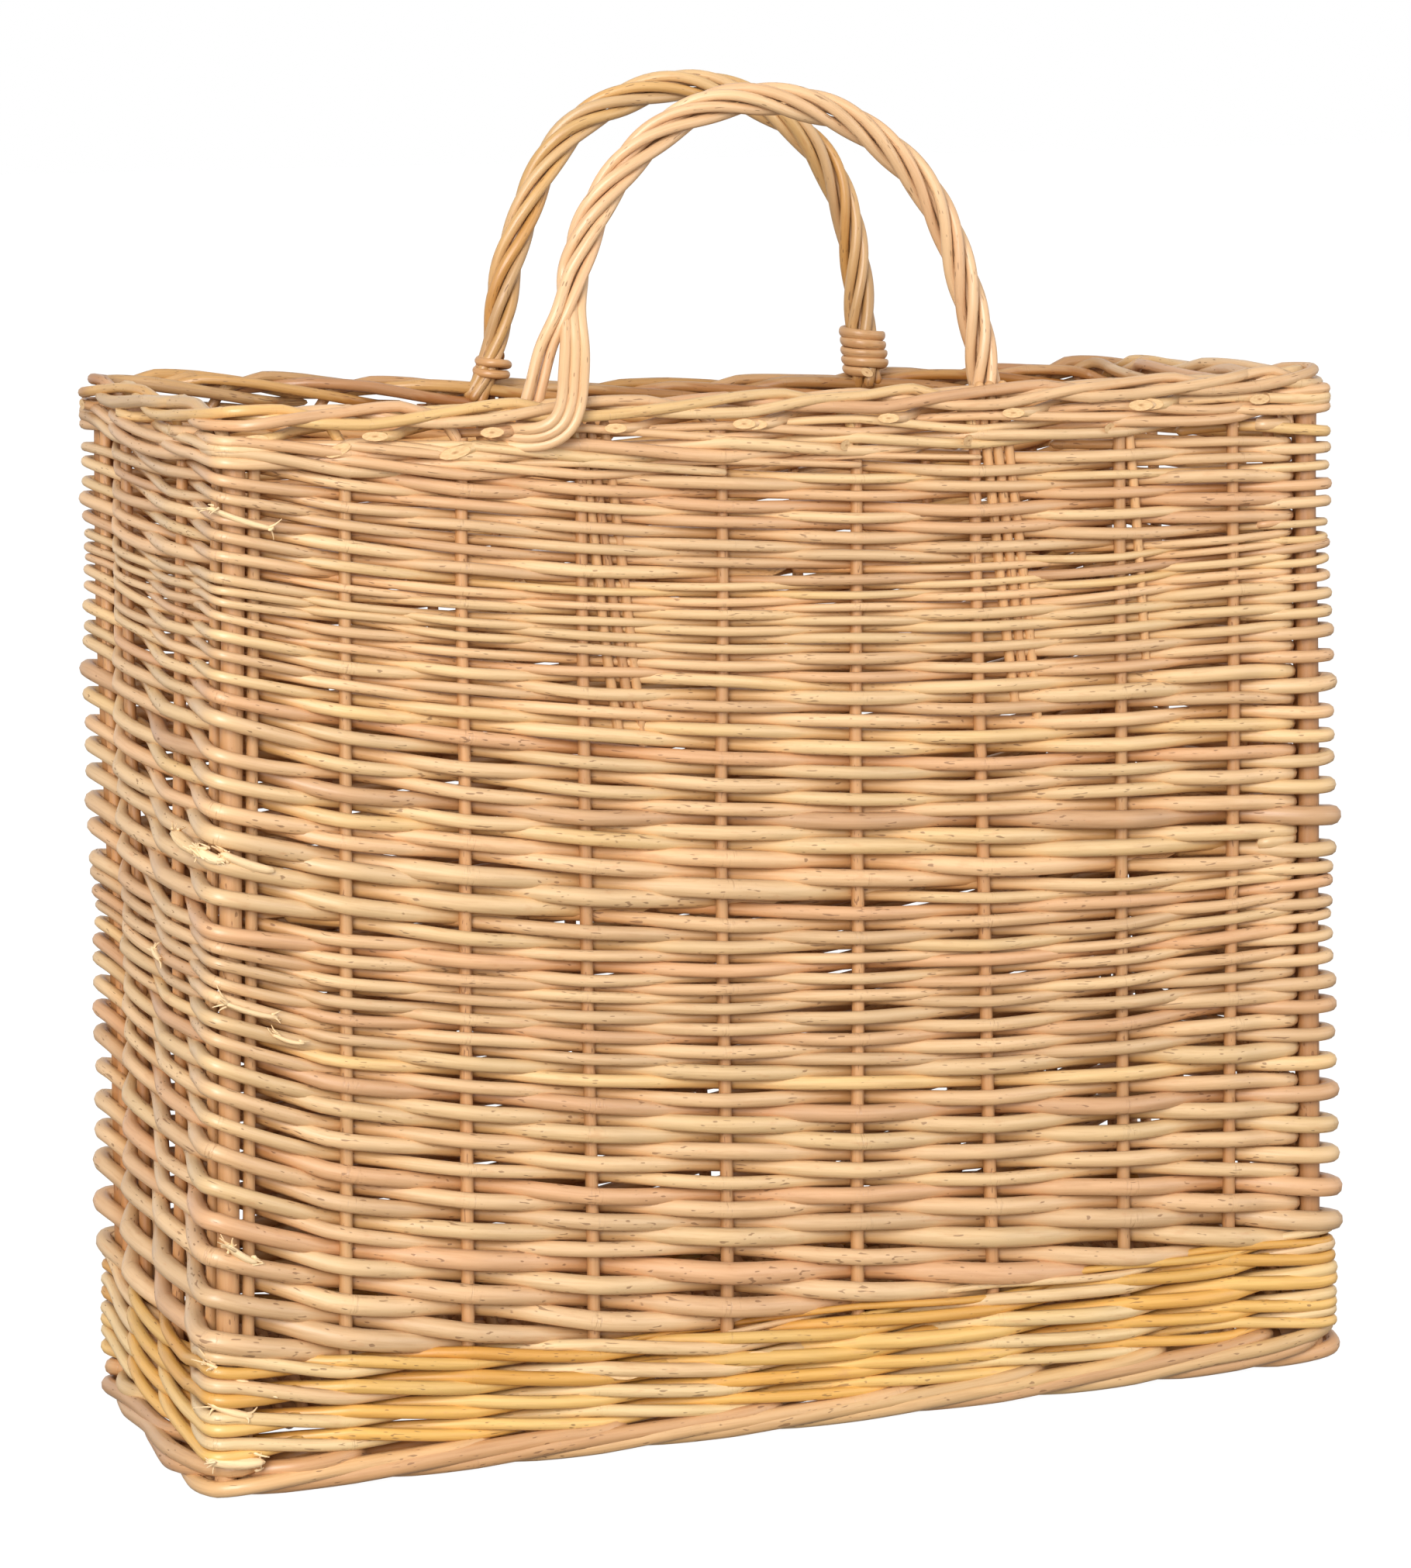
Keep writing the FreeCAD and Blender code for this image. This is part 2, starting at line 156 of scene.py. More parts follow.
def corner_points(k, z, off_out, r):
    """Plan points of a rod that turns corner k: off_out True passes outside the post, False inside it."""
    (ex, ey), c = PLACES[k % NP_][1], place(k, z)[0]
    EX, EY = np.array([ex, 0.0]), np.array([0.0, ey])
    from_long = PLACES[(k - 1) % NP_][0] in ("front", "back")
    if off_out:
        R = 4.7 + r + (0.5 if ex > 0 or ey > 0 else 1.2)
        pts = [c + R * g * (math.cos(math.radians(a)) * EY + math.sin(math.radians(a)) * EX) for a, g in ((-6, 1.0), (22, 1.04), (45, 1.12), (68, 1.04), (96, 1.0))]
    else:
        g = r - 3.4
        turn = ((-14.0, -5.6 - g), (-7.2 - g, -7.4 - g), (-3.6 - g, -14.0))
        if (ex, ey) == (1, -1):     # here the rods run on to the post before they tuck in behind it
            turn = ((-24.0, 2.6), (-11.2, 1.9), (-7.4, -2.6), (-7.4 - g, -8.6 - g), (-3.6 - g, -15.0))
        pts = [c + EX * u + EY * v for u, v in turn]
    return pts if from_long else pts[::-1]


# ------------------------------------------------------------------ curves
def natural_spline(t, P):
    """C2 spline through P at t; returns a function of new t."""
    t = np.asarray(t, float)
    P = np.asarray(P, float)
    n = len(t)
    h = np.diff(t)
    A = np.zeros((n, n))
    B = np.zeros((n,) + P.shape[1:])
    A[0, 0] = A[-1, -1] = 1.0
    for i in range(1, n - 1):
        A[i, i - 1], A[i, i], A[i, i + 1] = h[i - 1], 2 * (h[i - 1] + h[i]), h[i]
        B[i] = 6 * ((P[i + 1] - P[i]) / h[i] - (P[i] - P[i - 1]) / h[i - 1])
    M = np.linalg.solve(A, B)

    def f(x):
        x = np.asarray(x, float)
        i = np.clip(np.searchsorted(t, x, side="right") - 1, 0, n - 2)
        d = h[i]
        a = (t[i + 1] - x) / d
        b = (x - t[i]) / d
        if P.ndim > 1:
            a, b, d = a[:, None], b[:, None], d[:, None]
        return a * P[i] + b * P[i + 1] + ((a ** 3 - a) * M[i] + (b ** 3 - b) * M[i + 1]) * d * d / 6

    return f


def chord(P):
    P = np.asarray(P, float)
    return np.concatenate([[0.0], np.cumsum(np.linalg.norm(np.diff(P, axis=0), axis=1))])


def smooth_path(P, step=5.0, kink=0.0):
    """Even samples of a smooth curve through the control points P (n,3)."""
    P = np.asarray(P, float)
    t = chord(P)
    f = natural_spline(t, P)
    n = max(4, int(round(t[-1] / step)) + 1)
    x = np.linspace(0, t[-1], n)
    Q = f(x)
    if kink:
        L = np.stack([np.interp(x, t, P[:, i]) for i in range(P.shape[1])], 1)
        Q = Q * (1 - kink) + L * kink
    return Q


def cut_dir(P):
    """A slanting cut that faces outwards."""
    t = P[-1] - P[-3]
    t = t / np.linalg.norm(t)
    out = np.array([P[-1][0] / 257.0, P[-1][1] / 100.0, 0.0])
    out = np.array([np.sign(out[0]), 0, 0]) if abs(out[0]) > abs(out[1]) else np.array([0, np.sign(out[1]), 0])
    n = out - t * (t @ out)
    n = n / (np.linalg.norm(n) + 1e-9)
    return t * 0.42 + n * 0.9


def wobble(n, amount, length, step):
    """Smooth random wander along a path of n samples."""
    m = max(4, int(n * step / length) + 3)
    k = rng.normal(0, amount, m)
    return natural_spline(np.linspace(0, 1, m), k)(np.linspace(0, 1, n))


# ------------------------------------------------------------------ many rods in one mesh
class Rods:
    def __init__(self, name):
        self.name = name
        self.V, self.co, self.tint, self.kink = [], [], [], []
        self.quads, self.quv = [], []
        self.tris, self.tuv = [], []
        self.n = 0
        self.bands = []  # (first row of quads, count, length) to lay out the bake map
        self.caps = []
        self.len = 0.0
        self.circ = []

    def rod(self, P, R, hue=None, value=None, sides=10, start=("round",), end=("round",), kinks=None, oval=1.0, up=None):
        """P (n,3) centre line in mm, R (n,) radii. start/end: ("round",), ("cut", normal), ("point",)."""
        P = np.asarray(P, float)
        P = P + pull(P)
        R = np.broadcast_to(np.asarray(R, float), (len(P),)).copy()
        K = np.zeros(len(P)) if kinks is None else np.asarray(kinks, float)
        keep = np.ones(len(P), bool)
        Lk = chord(P)
        for side, kind in ((0, start), (-1, end)):
            if kind[0] == "cut":
                e = P[0] - P[2] if side == 0 else P[-1] - P[-3]
                nn = np.asarray(kind[1], float)
                d = max(0.34, abs(float(e @ nn)) / (np.linalg.norm(e) * np.linalg.norm(nn)))
                ext = min(0.3 * Lk[-1], R[side] * math.sqrt(1 - min(d, 1.0) ** 2) / d + 0.4)
                keep &= (Lk >= ext) | (Lk == 0) if side == 0 else (Lk[-1] - Lk >= ext) | (Lk == Lk[-1])
        if keep.sum() >= 4:
            P, R, K = P[keep], R[keep], K[keep]
        T = np.gradient(P, axis=0)
        T /= np.linalg.norm(T, axis=1)[:, None] + 1e-12
        # frames: parallel transport
        N = np.zeros_like(P)
        ref = np.array([0.0, 0.0, 1.0]) if up is None else np.asarray(up, float)
        if abs(T[0] @ ref) > 0.9:
            ref = np.array([1.0, 0.0, 0.0])
        v = ref - T[0] * (T[0] @ ref)
        v /= np.linalg.norm(v)
        for i in range(len(P)):
            v = v - T[i] * (T[i] @ v)
            v /= math.sqrt(v @ v) + 1e-12
            N[i] = v
        B = np.cross(T, N)
        th = np.arange(sides) * (2 * math.pi / sides)
        c, s = np.cos(th), np.sin(th)
        ring = (P[:, None, :] + R[:, None, None] * (c[None, :, None] * N[:, None, :] * oval + s[None, :, None] * B[:, None, :] / oval))
        L = chord(P)
        if start[0] == "cut":
            ring[0] = self._shear(ring[0], P[0], -T[0], start[1])
        if end[0] == "cut":
            ring[-1] = self._shear(ring[-1], P[-1], T[-1], end[1])
        extra0, extra1 = [], []
        if start[0] in ("round", "point"):
            q = [(0.35, 0.80), (0.0, 0.35)] if start[0] == "round" else [(0.0, 0.25)]
            base = P[0] - T[0] * 0
            for f, w in q[::-1]:
                extra0.append(base - T[0] * R[0] * (0.85 * math.sqrt(max(0, 1 - w * w))) + (ring[0] - P[0]) * w)
        if end[0] in ("round", "point"):
            q = [(0.35, 0.80), (0.0, 0.35)] if end[0] == "round" else [(0.0, 0.25)]
            for f, w in q:
                extra1.append(P[-1] + T[-1] * R[-1] * (0.85 * math.sqrt(max(0, 1 - w * w))) + (ring[-1] - P[-1]) * w)
        rings = np.array(extra0[::1] + list(ring) + extra1)
        if extra0:
            L = np.concatenate([np.linspace(-R[0], -0.3, len(extra0)), L])
            K = np.concatenate([np.zeros(len(extra0)), K])
        if extra1:
            L = np.concatenate([L, L[-1] + np.linspace(0.3, R[-1], len(extra1))])
            K = np.concatenate([K, np.zeros(len(extra1))])
        m = len(rings)
        off = rng.uniform(0, 5000)
        hue = rng.uniform(0, 1) if hue is None else hue
        value = rng.uniform(0, 1) if value is None else value
        co = np.empty((m, sides, 3))
        co[:, :, 0] = c[None, :]
        co[:, :, 1] = s[None, :]
        co[:, :, 2] = (L + off)[:, None]
        self.V.append(rings.reshape(-1, 3))
        self.co.append(co.reshape(-1, 3))
        tv = np.array([hue, value, rng.uniform(0, 1)])
        self.tint.append(np.tile(tv, (m * sides, 1)))
        self.kink.append(np.repeat(K, sides))
        i = np.arange(m - 1)[:, None] * sides
        j = np.arange(sides)[None, :]
        j2 = (j + 1) % sides
        q = np.stack([i + j, i + j2, i + sides + j2, i + sides + j], -1) + self.n
        self.quads.append(q.reshape(-1, 4))
        seg = np.diff(L)
        start_s = self.len + (L[:-1] - L[0])
        self.bands.append((start_s, seg, sides))
        self.len += L[-1] - L[0] + 1.0
        self.circ.append(2 * math.pi * R.mean())
        first = self.n
        last = self.n + (m - 1) * sides
        self.n += m * sides
        for (idx, kind, sgn) in ((first, start, -1), (last, end, 1)):
            ringv = rings[0] if sgn < 0 else rings[-1]
            centre = ringv.mean(0)
            if kind[0] == "cut":
                V = np.vstack([ringv, centre[None]])
                cc = np.zeros((sides + 1, 3))
                cc[:sides, 0], cc[:sides, 1] = c, s
                cc[:, 2] = off + (0 if sgn < 0 else L[-1])
                self.V.append(V)
                self.co.append(cc)
                self.tint.append(np.tile(tv, (sides + 1, 1)))
                self.kink.append(np.zeros(sides + 1))
                a = np.arange(sides)
                b = (a + 1) % sides
                tri = np.stack([a, b, np.full(sides, sides)], -1) + self.n
                if sgn < 0:
                    tri = tri[:, ::-1]
                self.tris.append((tri, True))
                self.n += sides + 1
            else:
                V = centre[None]
                cc = np.array([[0.0, 0.0, off + (0 if sgn < 0 else L[-1])]])
                self.V.append(V)
                self.co.append(cc)
                self.tint.append(tv[None])
                self.kink.append(np.zeros(1))
                a = np.arange(sides)
                b = (a + 1) % sides
                tri = np.stack([idx + a, idx + b, np.full(sides, self.n)], -1)
                if sgn < 0:
                    tri = tri[:, ::-1]
                self.tris.append((tri, False))
                self.n += 1
            self.caps.append(self.len)
            self.len += 8.0

    @staticmethod
    def _shear(ring, p, t, normal):
        n = np.asarray(normal, float)
        n = n / np.linalg.norm(n)
        d = float(t @ n)
        if abs(d) < 0.3:
            n = n + t * (0.35 if d >= 0 else -0.35)
            n /= np.linalg.norm(n)
            d = float(t @ n)
        return ring - t[None] * (((ring - p) @ n) / d)[:, None]

    def build(self, materials, replaces=(), slot=None, body="root"):
        V = np.vstack(self.V) * 0.001
        quads = np.vstack(self.quads)
        nq = len(quads)
        tri = np.vstack([t for t, _ in self.tris]) if self.tris else np.zeros((0, 3), int)
        cut = np.concatenate([np.full(len(t), c) for t, c in self.tris]) if self.tris else np.zeros(0, bool)
        me = bpy.data.meshes.new(self.name)
        me.vertices.add(len(V))
        me.vertices.foreach_set("co", V.astype(np.float32).ravel())
        loops = np.concatenate([quads.ravel(), tri.ravel()])
        me.loops.add(len(loops))
        me.loops.foreach_set("vertex_index", loops.astype(np.int32))
        me.polygons.add(nq + len(tri))
        starts = np.concatenate([np.arange(nq) * 4, nq * 4 + np.arange(len(tri)) * 3])
        me.polygons.foreach_set("loop_start", starts.astype(np.int32))
        # bake map: rods laid in rows
        circ = float(np.mean(self.circ))
        rows = max(1, int(round(math.sqrt(self.len / circ))))
        longest = max(float(b[1].max()) for b in self.bands) + 8.5
        W = self.len / rows + longest * 1.5
        uv = np.empty((len(loops), 2))
        at = 0
        for s0, seg, sides in self.bands:
            row = np.floor(s0 / (W - longest)).astype(int)
            x0 = s0 - row * (W - longest)
            x1 = x0 + seg
            j = np.arange(sides)
            u = np.empty((len(seg), sides, 4, 2))
            u[:, :, 0, 0] = u[:, :, 1, 0] = (x0 / W)[:, None]
            u[:, :, 2, 0] = u[:, :, 3, 0] = (x1 / W)[:, None]
            rr = row[:, None]
            a = 0.03 + 0.94 * (j / sides)[None, :]
            b = 0.03 + 0.94 * ((j + 1) / sides)[None, :]
            u[:, :, 0, 1] = u[:, :, 3, 1] = (rr + a)
            u[:, :, 1, 1] = u[:, :, 2, 1] = (rr + b)
            k = len(seg) * sides * 4
            uv[at:at + k] = u.reshape(-1, 2)
            at += k
        for (t, c), s0 in zip(self.tris, self.caps):
            row = math.floor(s0 / (W - longest))
            x0 = s0 - row * (W - longest)
            n = len(t)
            th = np.arange(n + 1) * 2 * math.pi / n
            px = (x0 + 4 + 3.4 * np.cos(th)) / W
            py = row + 0.5 + 0.42 * np.sin(th)
            u = np.empty((n, 3, 2))
            u[:, 0, 0], u[:, 0, 1] = px[:-1], py[:-1]
            u[:, 1, 0], u[:, 1, 1] = px[1:], py[1:]
            u[:, 2, 0], u[:, 2, 1] = (x0 + 4) / W, row + 0.5
            uv[at:at + n * 3] = u.reshape(-1, 2)
            at += n * 3
        nrows = math.floor(self.len / (W - longest)) + 1
        uv[:, 1] /= nrows
        me.update(calc_edges=True)
        lay = me.uv_layers.new(name="OFBake")
        lay.data.foreach_set("uv", uv.astype(np.float32).ravel())
        a = me.attributes.new("rodco", "FLOAT_VECTOR", "POINT")
        a.data.foreach_set("vector", np.vstack(self.co).astype(np.float32).ravel())
        a = me.attributes.new("tint", "FLOAT_VECTOR", "POINT")
        a.data.foreach_set("vector", np.vstack(self.tint).astype(np.float32).ravel())
        a = me.attributes.new("kink", "FLOAT", "POINT")
        a.data.foreach_set("value", np.concatenate(self.kink).astype(np.float32))
        Vm = V * 1000.0
        # painted shade: how far each point lies inside the stake line, turned into the weave, weights a darker, browner
        # tone (below the border only)
        zc = np.clip(Vm[:, 2], 0, HEIGHT)
        outw = np.maximum(np.abs(Vm[:, 0]) - (half_x(zc) - INSET), np.abs(Vm[:, 1]) - (half_y(zc) - INSET))
        painted_weave_shade = np.clip((3.2 - outw) / 6.0, 0, 1) * (Vm[:, 2] < 428.0)
        a = me.attributes.new("painted_weave_shade", "FLOAT", "POINT")
        a.data.foreach_set("value", painted_weave_shade.astype(np.float32))
        # painted shade at the back of the edge and the back handle's legs, plus a slight darkening in a band from the
        # top of the border up to the handles' feet
        back_shade_and_top_tone = np.clip((Vm[:, 1] - 70.0) / 12.0, 0, 1) * np.clip((Vm[:, 2] - 417.0) / 8.0, 0, 1) * np.clip((660.0 - Vm[:, 2]) / 200.0, 0, 1)
        back_shade_and_top_tone = np.maximum(back_shade_and_top_tone, 0.22 * np.clip((Vm[:, 2] - 424.0) / 8.0, 0, 1) * np.clip((470.0 - Vm[:, 2]) / 25.0, 0, 1))
        if "binding" in self.name:
            back_shade_and_top_tone = back_shade_and_top_tone * 0.25
        a = me.attributes.new("back_shade_and_top_tone", "FLOAT", "POINT")
        a.data.foreach_set("value", back_shade_and_top_tone.astype(np.float32))
        mats = list(materials)
        for m in mats:
            me.materials.append(m)
        smooth = np.ones(nq + len(tri), bool)
        idx = np.zeros(nq + len(tri), np.int32)
        smooth[nq:] = ~cut
        idx[nq:][cut] = 1 if len(mats) > 1 else 0
        me.polygons.foreach_set("use_smooth", smooth)
        me.polygons.foreach_set("material_index", idx)
        me.update()
        me.validate()
        ob = bpy.data.objects.new(self.name, me)
        bpy.context.scene.collection.objects.link(ob)
        if replaces:
            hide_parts(*replaces)
        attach(ob, body)
        return ob


# ------------------------------------------------------------------ materials
def nd(nt, kind, **kw):
    n = nt.nodes.new(kind)
    for k, v in kw.items():
        setattr(n, k, v)
    return n


def srgb(r, g, b):
    f = lambda c: (c / 255 / 12.92) if c / 255 <= 0.04045 else ((c / 255 + 0.055) / 1.055) ** 2.4
    return (f(r), f(g), f(b), 1.0)


def ramp(nt, fac, stops, interp="LINEAR"):
    r = nd(nt, "ShaderNodeValToRGB")
    r.color_ramp.interpolation = interp
    el = r.color_ramp.elements
    while len(el) < len(stops):
        el.new(0.5)
    for e, (p, c) in zip(el, stops):
        e.position = p
        e.color = c
    nt.links.new(fac, r.inputs["Fac"])
    return r.outputs["Color"]


def math_node(nt, op, a, b=None, clamp=False):
    n = nd(nt, "ShaderNodeMath", operation=op, use_clamp=clamp)
    for i, v in enumerate((a, b)):
        if v is None:
            continue
        if isinstance(v, (int, float)):
            n.inputs[i].default_value = v
        else:
            nt.links.new(v, n.inputs[i])
    return n.outputs[0]


def mix_col(nt, fac, a, b, blend="MIX"):
    n = nd(nt, "ShaderNodeMix", data_type="RGBA", blend_type=blend)
    if isinstance(fac, (int, float)):
        n.inputs[0].default_value = fac
    else:
        nt.links.new(fac, n.inputs[0])
    for i, v in ((6, a), (7, b)):
        if isinstance(v, tuple):
            n.inputs[i].default_value = v
        else:
            nt.links.new(v, n.inputs[i])
    return n.outputs[2]


def willow(name, stops, dark=0.0, rough=0.38, fleck=1.0, long_mix=0.5):
    """Peeled, boiled willow: colour drawn per rod from stops, changing slowly along the rod, with grain streaks, bark
    flecks and scuffs, and painted shade in the weave, under each rod and at the back.
    """
    m = bpy.data.materials.new(name)
    m.use_nodes = True
    nt = m.node_tree
    nt.nodes.clear()
    out = nd(nt, "ShaderNodeOutputMaterial")
    bs = nd(nt, "ShaderNodeBsdfPrincipled")
    nt.links.new(bs.outputs[0], out.inputs[0])
    rc = nd(nt, "ShaderNodeAttribute", attribute_name="rodco")
    ti = nd(nt, "ShaderNodeAttribute", attribute_name="tint")
    ki = nd(nt, "ShaderNodeAttribute", attribute_name="kink")
    sep = nd(nt, "ShaderNodeSeparateXYZ")
    nt.links.new(ti.outputs["Vector"], sep.inputs[0])

    def scaled(sx, sz, seed=0.0):
        v = nd(nt, "ShaderNodeVectorMath", operation="MULTIPLY")
        nt.links.new(rc.outputs["Vector"], v.inputs[0])
        v.inputs[1].default_value = (sx, sx, sz)
        a = nd(nt, "ShaderNodeVectorMath", operation="ADD")
        nt.links.new(v.outputs[0], a.inputs[0])
        a.inputs[1].default_value = (seed, seed * 1.7, seed * 2.3)
        return a.outputs[0]

    def noise(vec, scale=1.0, detail=2.0, rough_=0.5):
        n = nd(nt, "ShaderNodeTexNoise")
        n.inputs["Scale"].default_value = scale
        n.inputs["Detail"].default_value = detail
        n.inputs["Roughness"].default_value = rough_
        nt.links.new(vec, n.inputs["Vector"])
        return n.outputs["Fac"]

    slow = noise(scaled(0.15, 0.012, 3.1), 1.0, 1.0)
    # which colour: per-rod value plus a slow change along the rod
    h = math_node(nt, "ADD", sep.outputs[0], math_node(nt, "MULTIPLY", math_node(nt, "SUBTRACT", slow, 0.5), long_mix), clamp=True)
    base = ramp(nt, h, stops)
    # lighter and darker rods
    val = math_node(nt, "ADD", 0.82, math_node(nt, "MULTIPLY", sep.outputs[1], 0.26))
    patch = noise(scaled(0.6, 0.035, 9.2), 1.0, 2.0)
    val = math_node(nt, "MULTIPLY", val, math_node(nt, "ADD", 0.86, math_node(nt, "MULTIPLY", patch, 0.28)))
    g = nd(nt, "ShaderNodeCombineColor")
    for i in range(3):
        nt.links.new(val, g.inputs[i])
    base = mix_col(nt, 1.0, base, g.outputs[0], "MULTIPLY")
    # grain streaks along the rod
    streak = noise(scaled(3.2, 0.05, 1.0), 1.0, 4.0, 0.6)
    st = ramp(nt, streak, [(0.30, (0.86, 0.80, 0.74, 1)), (0.52, (1, 1, 1, 1)), (0.75, (1.0, 1.0, 1.0, 1))])
    base = mix_col(nt, 0.75, base, st, "MULTIPLY")
    # reddish scuffs
    scuff = noise(scaled(1.1, 0.09, 5.7), 1.0, 3.0, 0.6)
    sf = ramp(nt, scuff, [(0.60, (0, 0, 0, 1)), (0.74, (1, 1, 1, 1))])
    base = mix_col(nt, math_node(nt, "MULTIPLY", sf, 0.35), base, srgb(196, 138, 92))
    # bark flecks: short dark dashes along the rod
    fl = noise(scaled(3.6, 0.24, 8.3), 1.0, 0.0, 0.5)
    fgate = noise(scaled(0.5, 0.06, 12.9), 1.0, 0.0)
    fl2 = math_node(nt, "ADD", fl, math_node(nt, "MULTIPLY", math_node(nt, "SUBTRACT", fgate, 0.5), 0.34))
    fm = ramp(nt, fl2, [(0.772, (0, 0, 0, 1)), (0.825, (1, 1, 1, 1))])
    base = mix_col(nt, math_node(nt, "MULTIPLY", fm, 0.62 * fleck), base, srgb(112, 72, 38))
    # creases where the rod is bent round a stake
    cr = noise(scaled(0.5, 1.6, 2.2), 1.0, 2.0, 0.7)
    cm = ramp(nt, cr, [(0.58, (0, 0, 0, 1)), (0.68, (1, 1, 1, 1))])
    cf = math_node(nt, "MULTIPLY", math_node(nt, "MULTIPLY", cm, ki.outputs["Fac"]), math_node(nt, "GREATER_THAN", sep.outputs[2], 0.55))
    base = mix_col(nt, math_node(nt, "MULTIPLY", cf, 0.55), base, srgb(140, 92, 52))
    if dark:
        base = mix_col(nt, dark, base, srgb(150, 96, 56))
    # painted shade: the sides turned into the weave are darkened to a deeper, browner tone, standing in for the shade
    # between the rods
    weave_shade_node = nd(nt, "ShaderNodeAttribute", attribute_name="painted_weave_shade")
    base = mix_col(nt, math_node(nt, "MULTIPLY", weave_shade_node.outputs["Fac"], 0.9), base, (0.80, 0.62, 0.40, 1.0), "MULTIPLY")
    # painted shade: the underside of each rod is darkened and browned, as if shaded from above
    rs = nd(nt, "ShaderNodeSeparateXYZ")
    nt.links.new(rc.outputs["Vector"], rs.inputs[0])
    under = math_node(nt, "MULTIPLY", rs.outputs[0], -0.5, clamp=True)
    base = mix_col(nt, under, base, (0.93, 0.84, 0.68, 1.0), "MULTIPLY")
    # painted shade: the back of the edge and the back handle's legs are darkened and browned as if in shade, and the
    # rods are a little darker in a band from the top of the border up the handles' feet
    back_shade_node = nd(nt, "ShaderNodeAttribute", attribute_name="back_shade_and_top_tone")
    base = mix_col(nt, back_shade_node.outputs["Fac"], base, (0.72, 0.62, 0.50, 1.0), "MULTIPLY")
    nt.links.new(base, bs.inputs["Base Color"])
    # surface
    ro = math_node(nt, "ADD", rough - 0.08, math_node(nt, "MULTIPLY", streak, 0.22))
    ro = math_node(nt, "ADD", ro, math_node(nt, "MULTIPLY", fm, 0.2), clamp=True)
    nt.links.new(ro, bs.inputs["Roughness"])
    bs.inputs["Specular IOR Level"].default_value = 0.72
    hgt = math_node(nt, "ADD", math_node(nt, "MULTIPLY", streak, 0.5), math_node(nt, "MULTIPLY", fm, -0.5))
    hgt = math_node(nt, "ADD", hgt, math_node(nt, "MULTIPLY", cf, -0.9))
    hgt = math_node(nt, "ADD", hgt, math_node(nt, "MULTIPLY", patch, 0.9))
    b = nd(nt, "ShaderNodeBump")
    b.inputs["Strength"].default_value = 0.45
    b.inputs["Distance"].default_value = 0.0006
    nt.links.new(hgt, b.inputs["Height"])
    nt.links.new(b.outputs[0], bs.inputs["Normal"])
    return m


def cut_wood(name, col):
    """A cut end: pale wood, a darker pith and a thin darker rim."""
    m = bpy.data.materials.new(name)
    m.use_nodes = True
    nt = m.node_tree
    nt.nodes.clear()
    out = nd(nt, "ShaderNodeOutputMaterial")
    bs = nd(nt, "ShaderNodeBsdfPrincipled")
    nt.links.new(bs.outputs[0], out.inputs[0])
    rc = nd(nt, "ShaderNodeAttribute", attribute_name="rodco")
    s = nd(nt, "ShaderNodeSeparateXYZ")
    nt.links.new(rc.outputs["Vector"], s.inputs[0])
    rr = math_node(nt, "SQRT", math_node(nt, "ADD", math_node(nt, "MULTIPLY", s.outputs[0], s.outputs[0]), math_node(nt, "MULTIPLY", s.outputs[1], s.outputs[1])))
    c = ramp(nt, rr, [(0.0, srgb(176, 132, 84)), (0.14, srgb(196, 152, 104)), (0.30, col), (0.90, col), (0.99, srgb(190, 142, 92))])
    n = nd(nt, "ShaderNodeTexNoise")
    n.inputs["Scale"].default_value = 3.0
    n.inputs["Detail"].default_value = 4.0
    nt.links.new(rc.outputs["Vector"], n.inputs["Vector"])
    k = ramp(nt, n.outputs["Fac"], [(0.35, (0.84, 0.78, 0.72, 1)), (0.6, (1, 1, 1, 1))])
    c = mix_col(nt, 0.8, c, k, "MULTIPLY")
    nt.links.new(c, bs.inputs["Base Color"])
    bs.inputs["Roughness"].default_value = 0.75
    b = nd(nt, "ShaderNodeBump")
    b.inputs["Strength"].default_value = 0.5
    b.inputs["Distance"].default_value = 0.0005
    nt.links.new(n.outputs["Fac"], b.inputs["Height"])
    nt.links.new(b.outputs[0], bs.inputs["Normal"])
    return m


BUFF = [(0.0, srgb(210, 163, 120)), (0.22, srgb(217, 175, 130)), (0.45, srgb(221, 184, 139)),
        (0.65, srgb(223, 188, 139)), (0.85, srgb(225, 185, 124)), (1.0, srgb(220, 171, 102))]
GOLD = [(0.0, srgb(212, 166, 122)), (0.22, srgb(228, 196, 146)), (0.45, srgb(229, 191, 124)),
        (0.72, srgb(225, 175, 92)), (1.0, srgb(214, 152, 66))]
PINK = [(0.0, srgb(200, 152, 106)), (0.35, srgb(210, 164, 116)), (0.7, srgb(216, 173, 123)), (1.0, srgb(221, 183, 127))]
POST = [(0.0, srgb(180, 131, 84)), (0.5, srgb(198, 150, 101)), (1.0, srgb(213, 170, 118))]
TIE = [(0.0, srgb(206, 158, 108)), (0.5, srgb(211, 165, 114)), (1.0, srgb(198, 142, 84))]
TORN = [(0.0, srgb(226, 190, 142)), (0.5, srgb(236, 208, 164)), (1.0, srgb(228, 184, 122))]
M_SIDING = willow("siding_willow", BUFF)
M_WALE = willow("wale_willow", GOLD)
M_FOOT = willow("foot_willow", PINK)
M_BORDER = willow("border_willow", BUFF)
M_STAKE = willow("stake_willow", POST, rough=0.5)
M_POST = willow("post_willow", POST, dark=0.15, rough=0.5)
M_HANDLE = willow("handle_willow", BUFF)
M_BASE = willow("base_willow", PINK, rough=0.55)
M_BIND = willow("binding_willow", TIE, fleck=0.4)
M_TORN = willow("torn_willow", TORN, fleck=0.6, rough=0.7)
M_CUT = cut_wood("cut_wood", srgb(224, 186, 136))


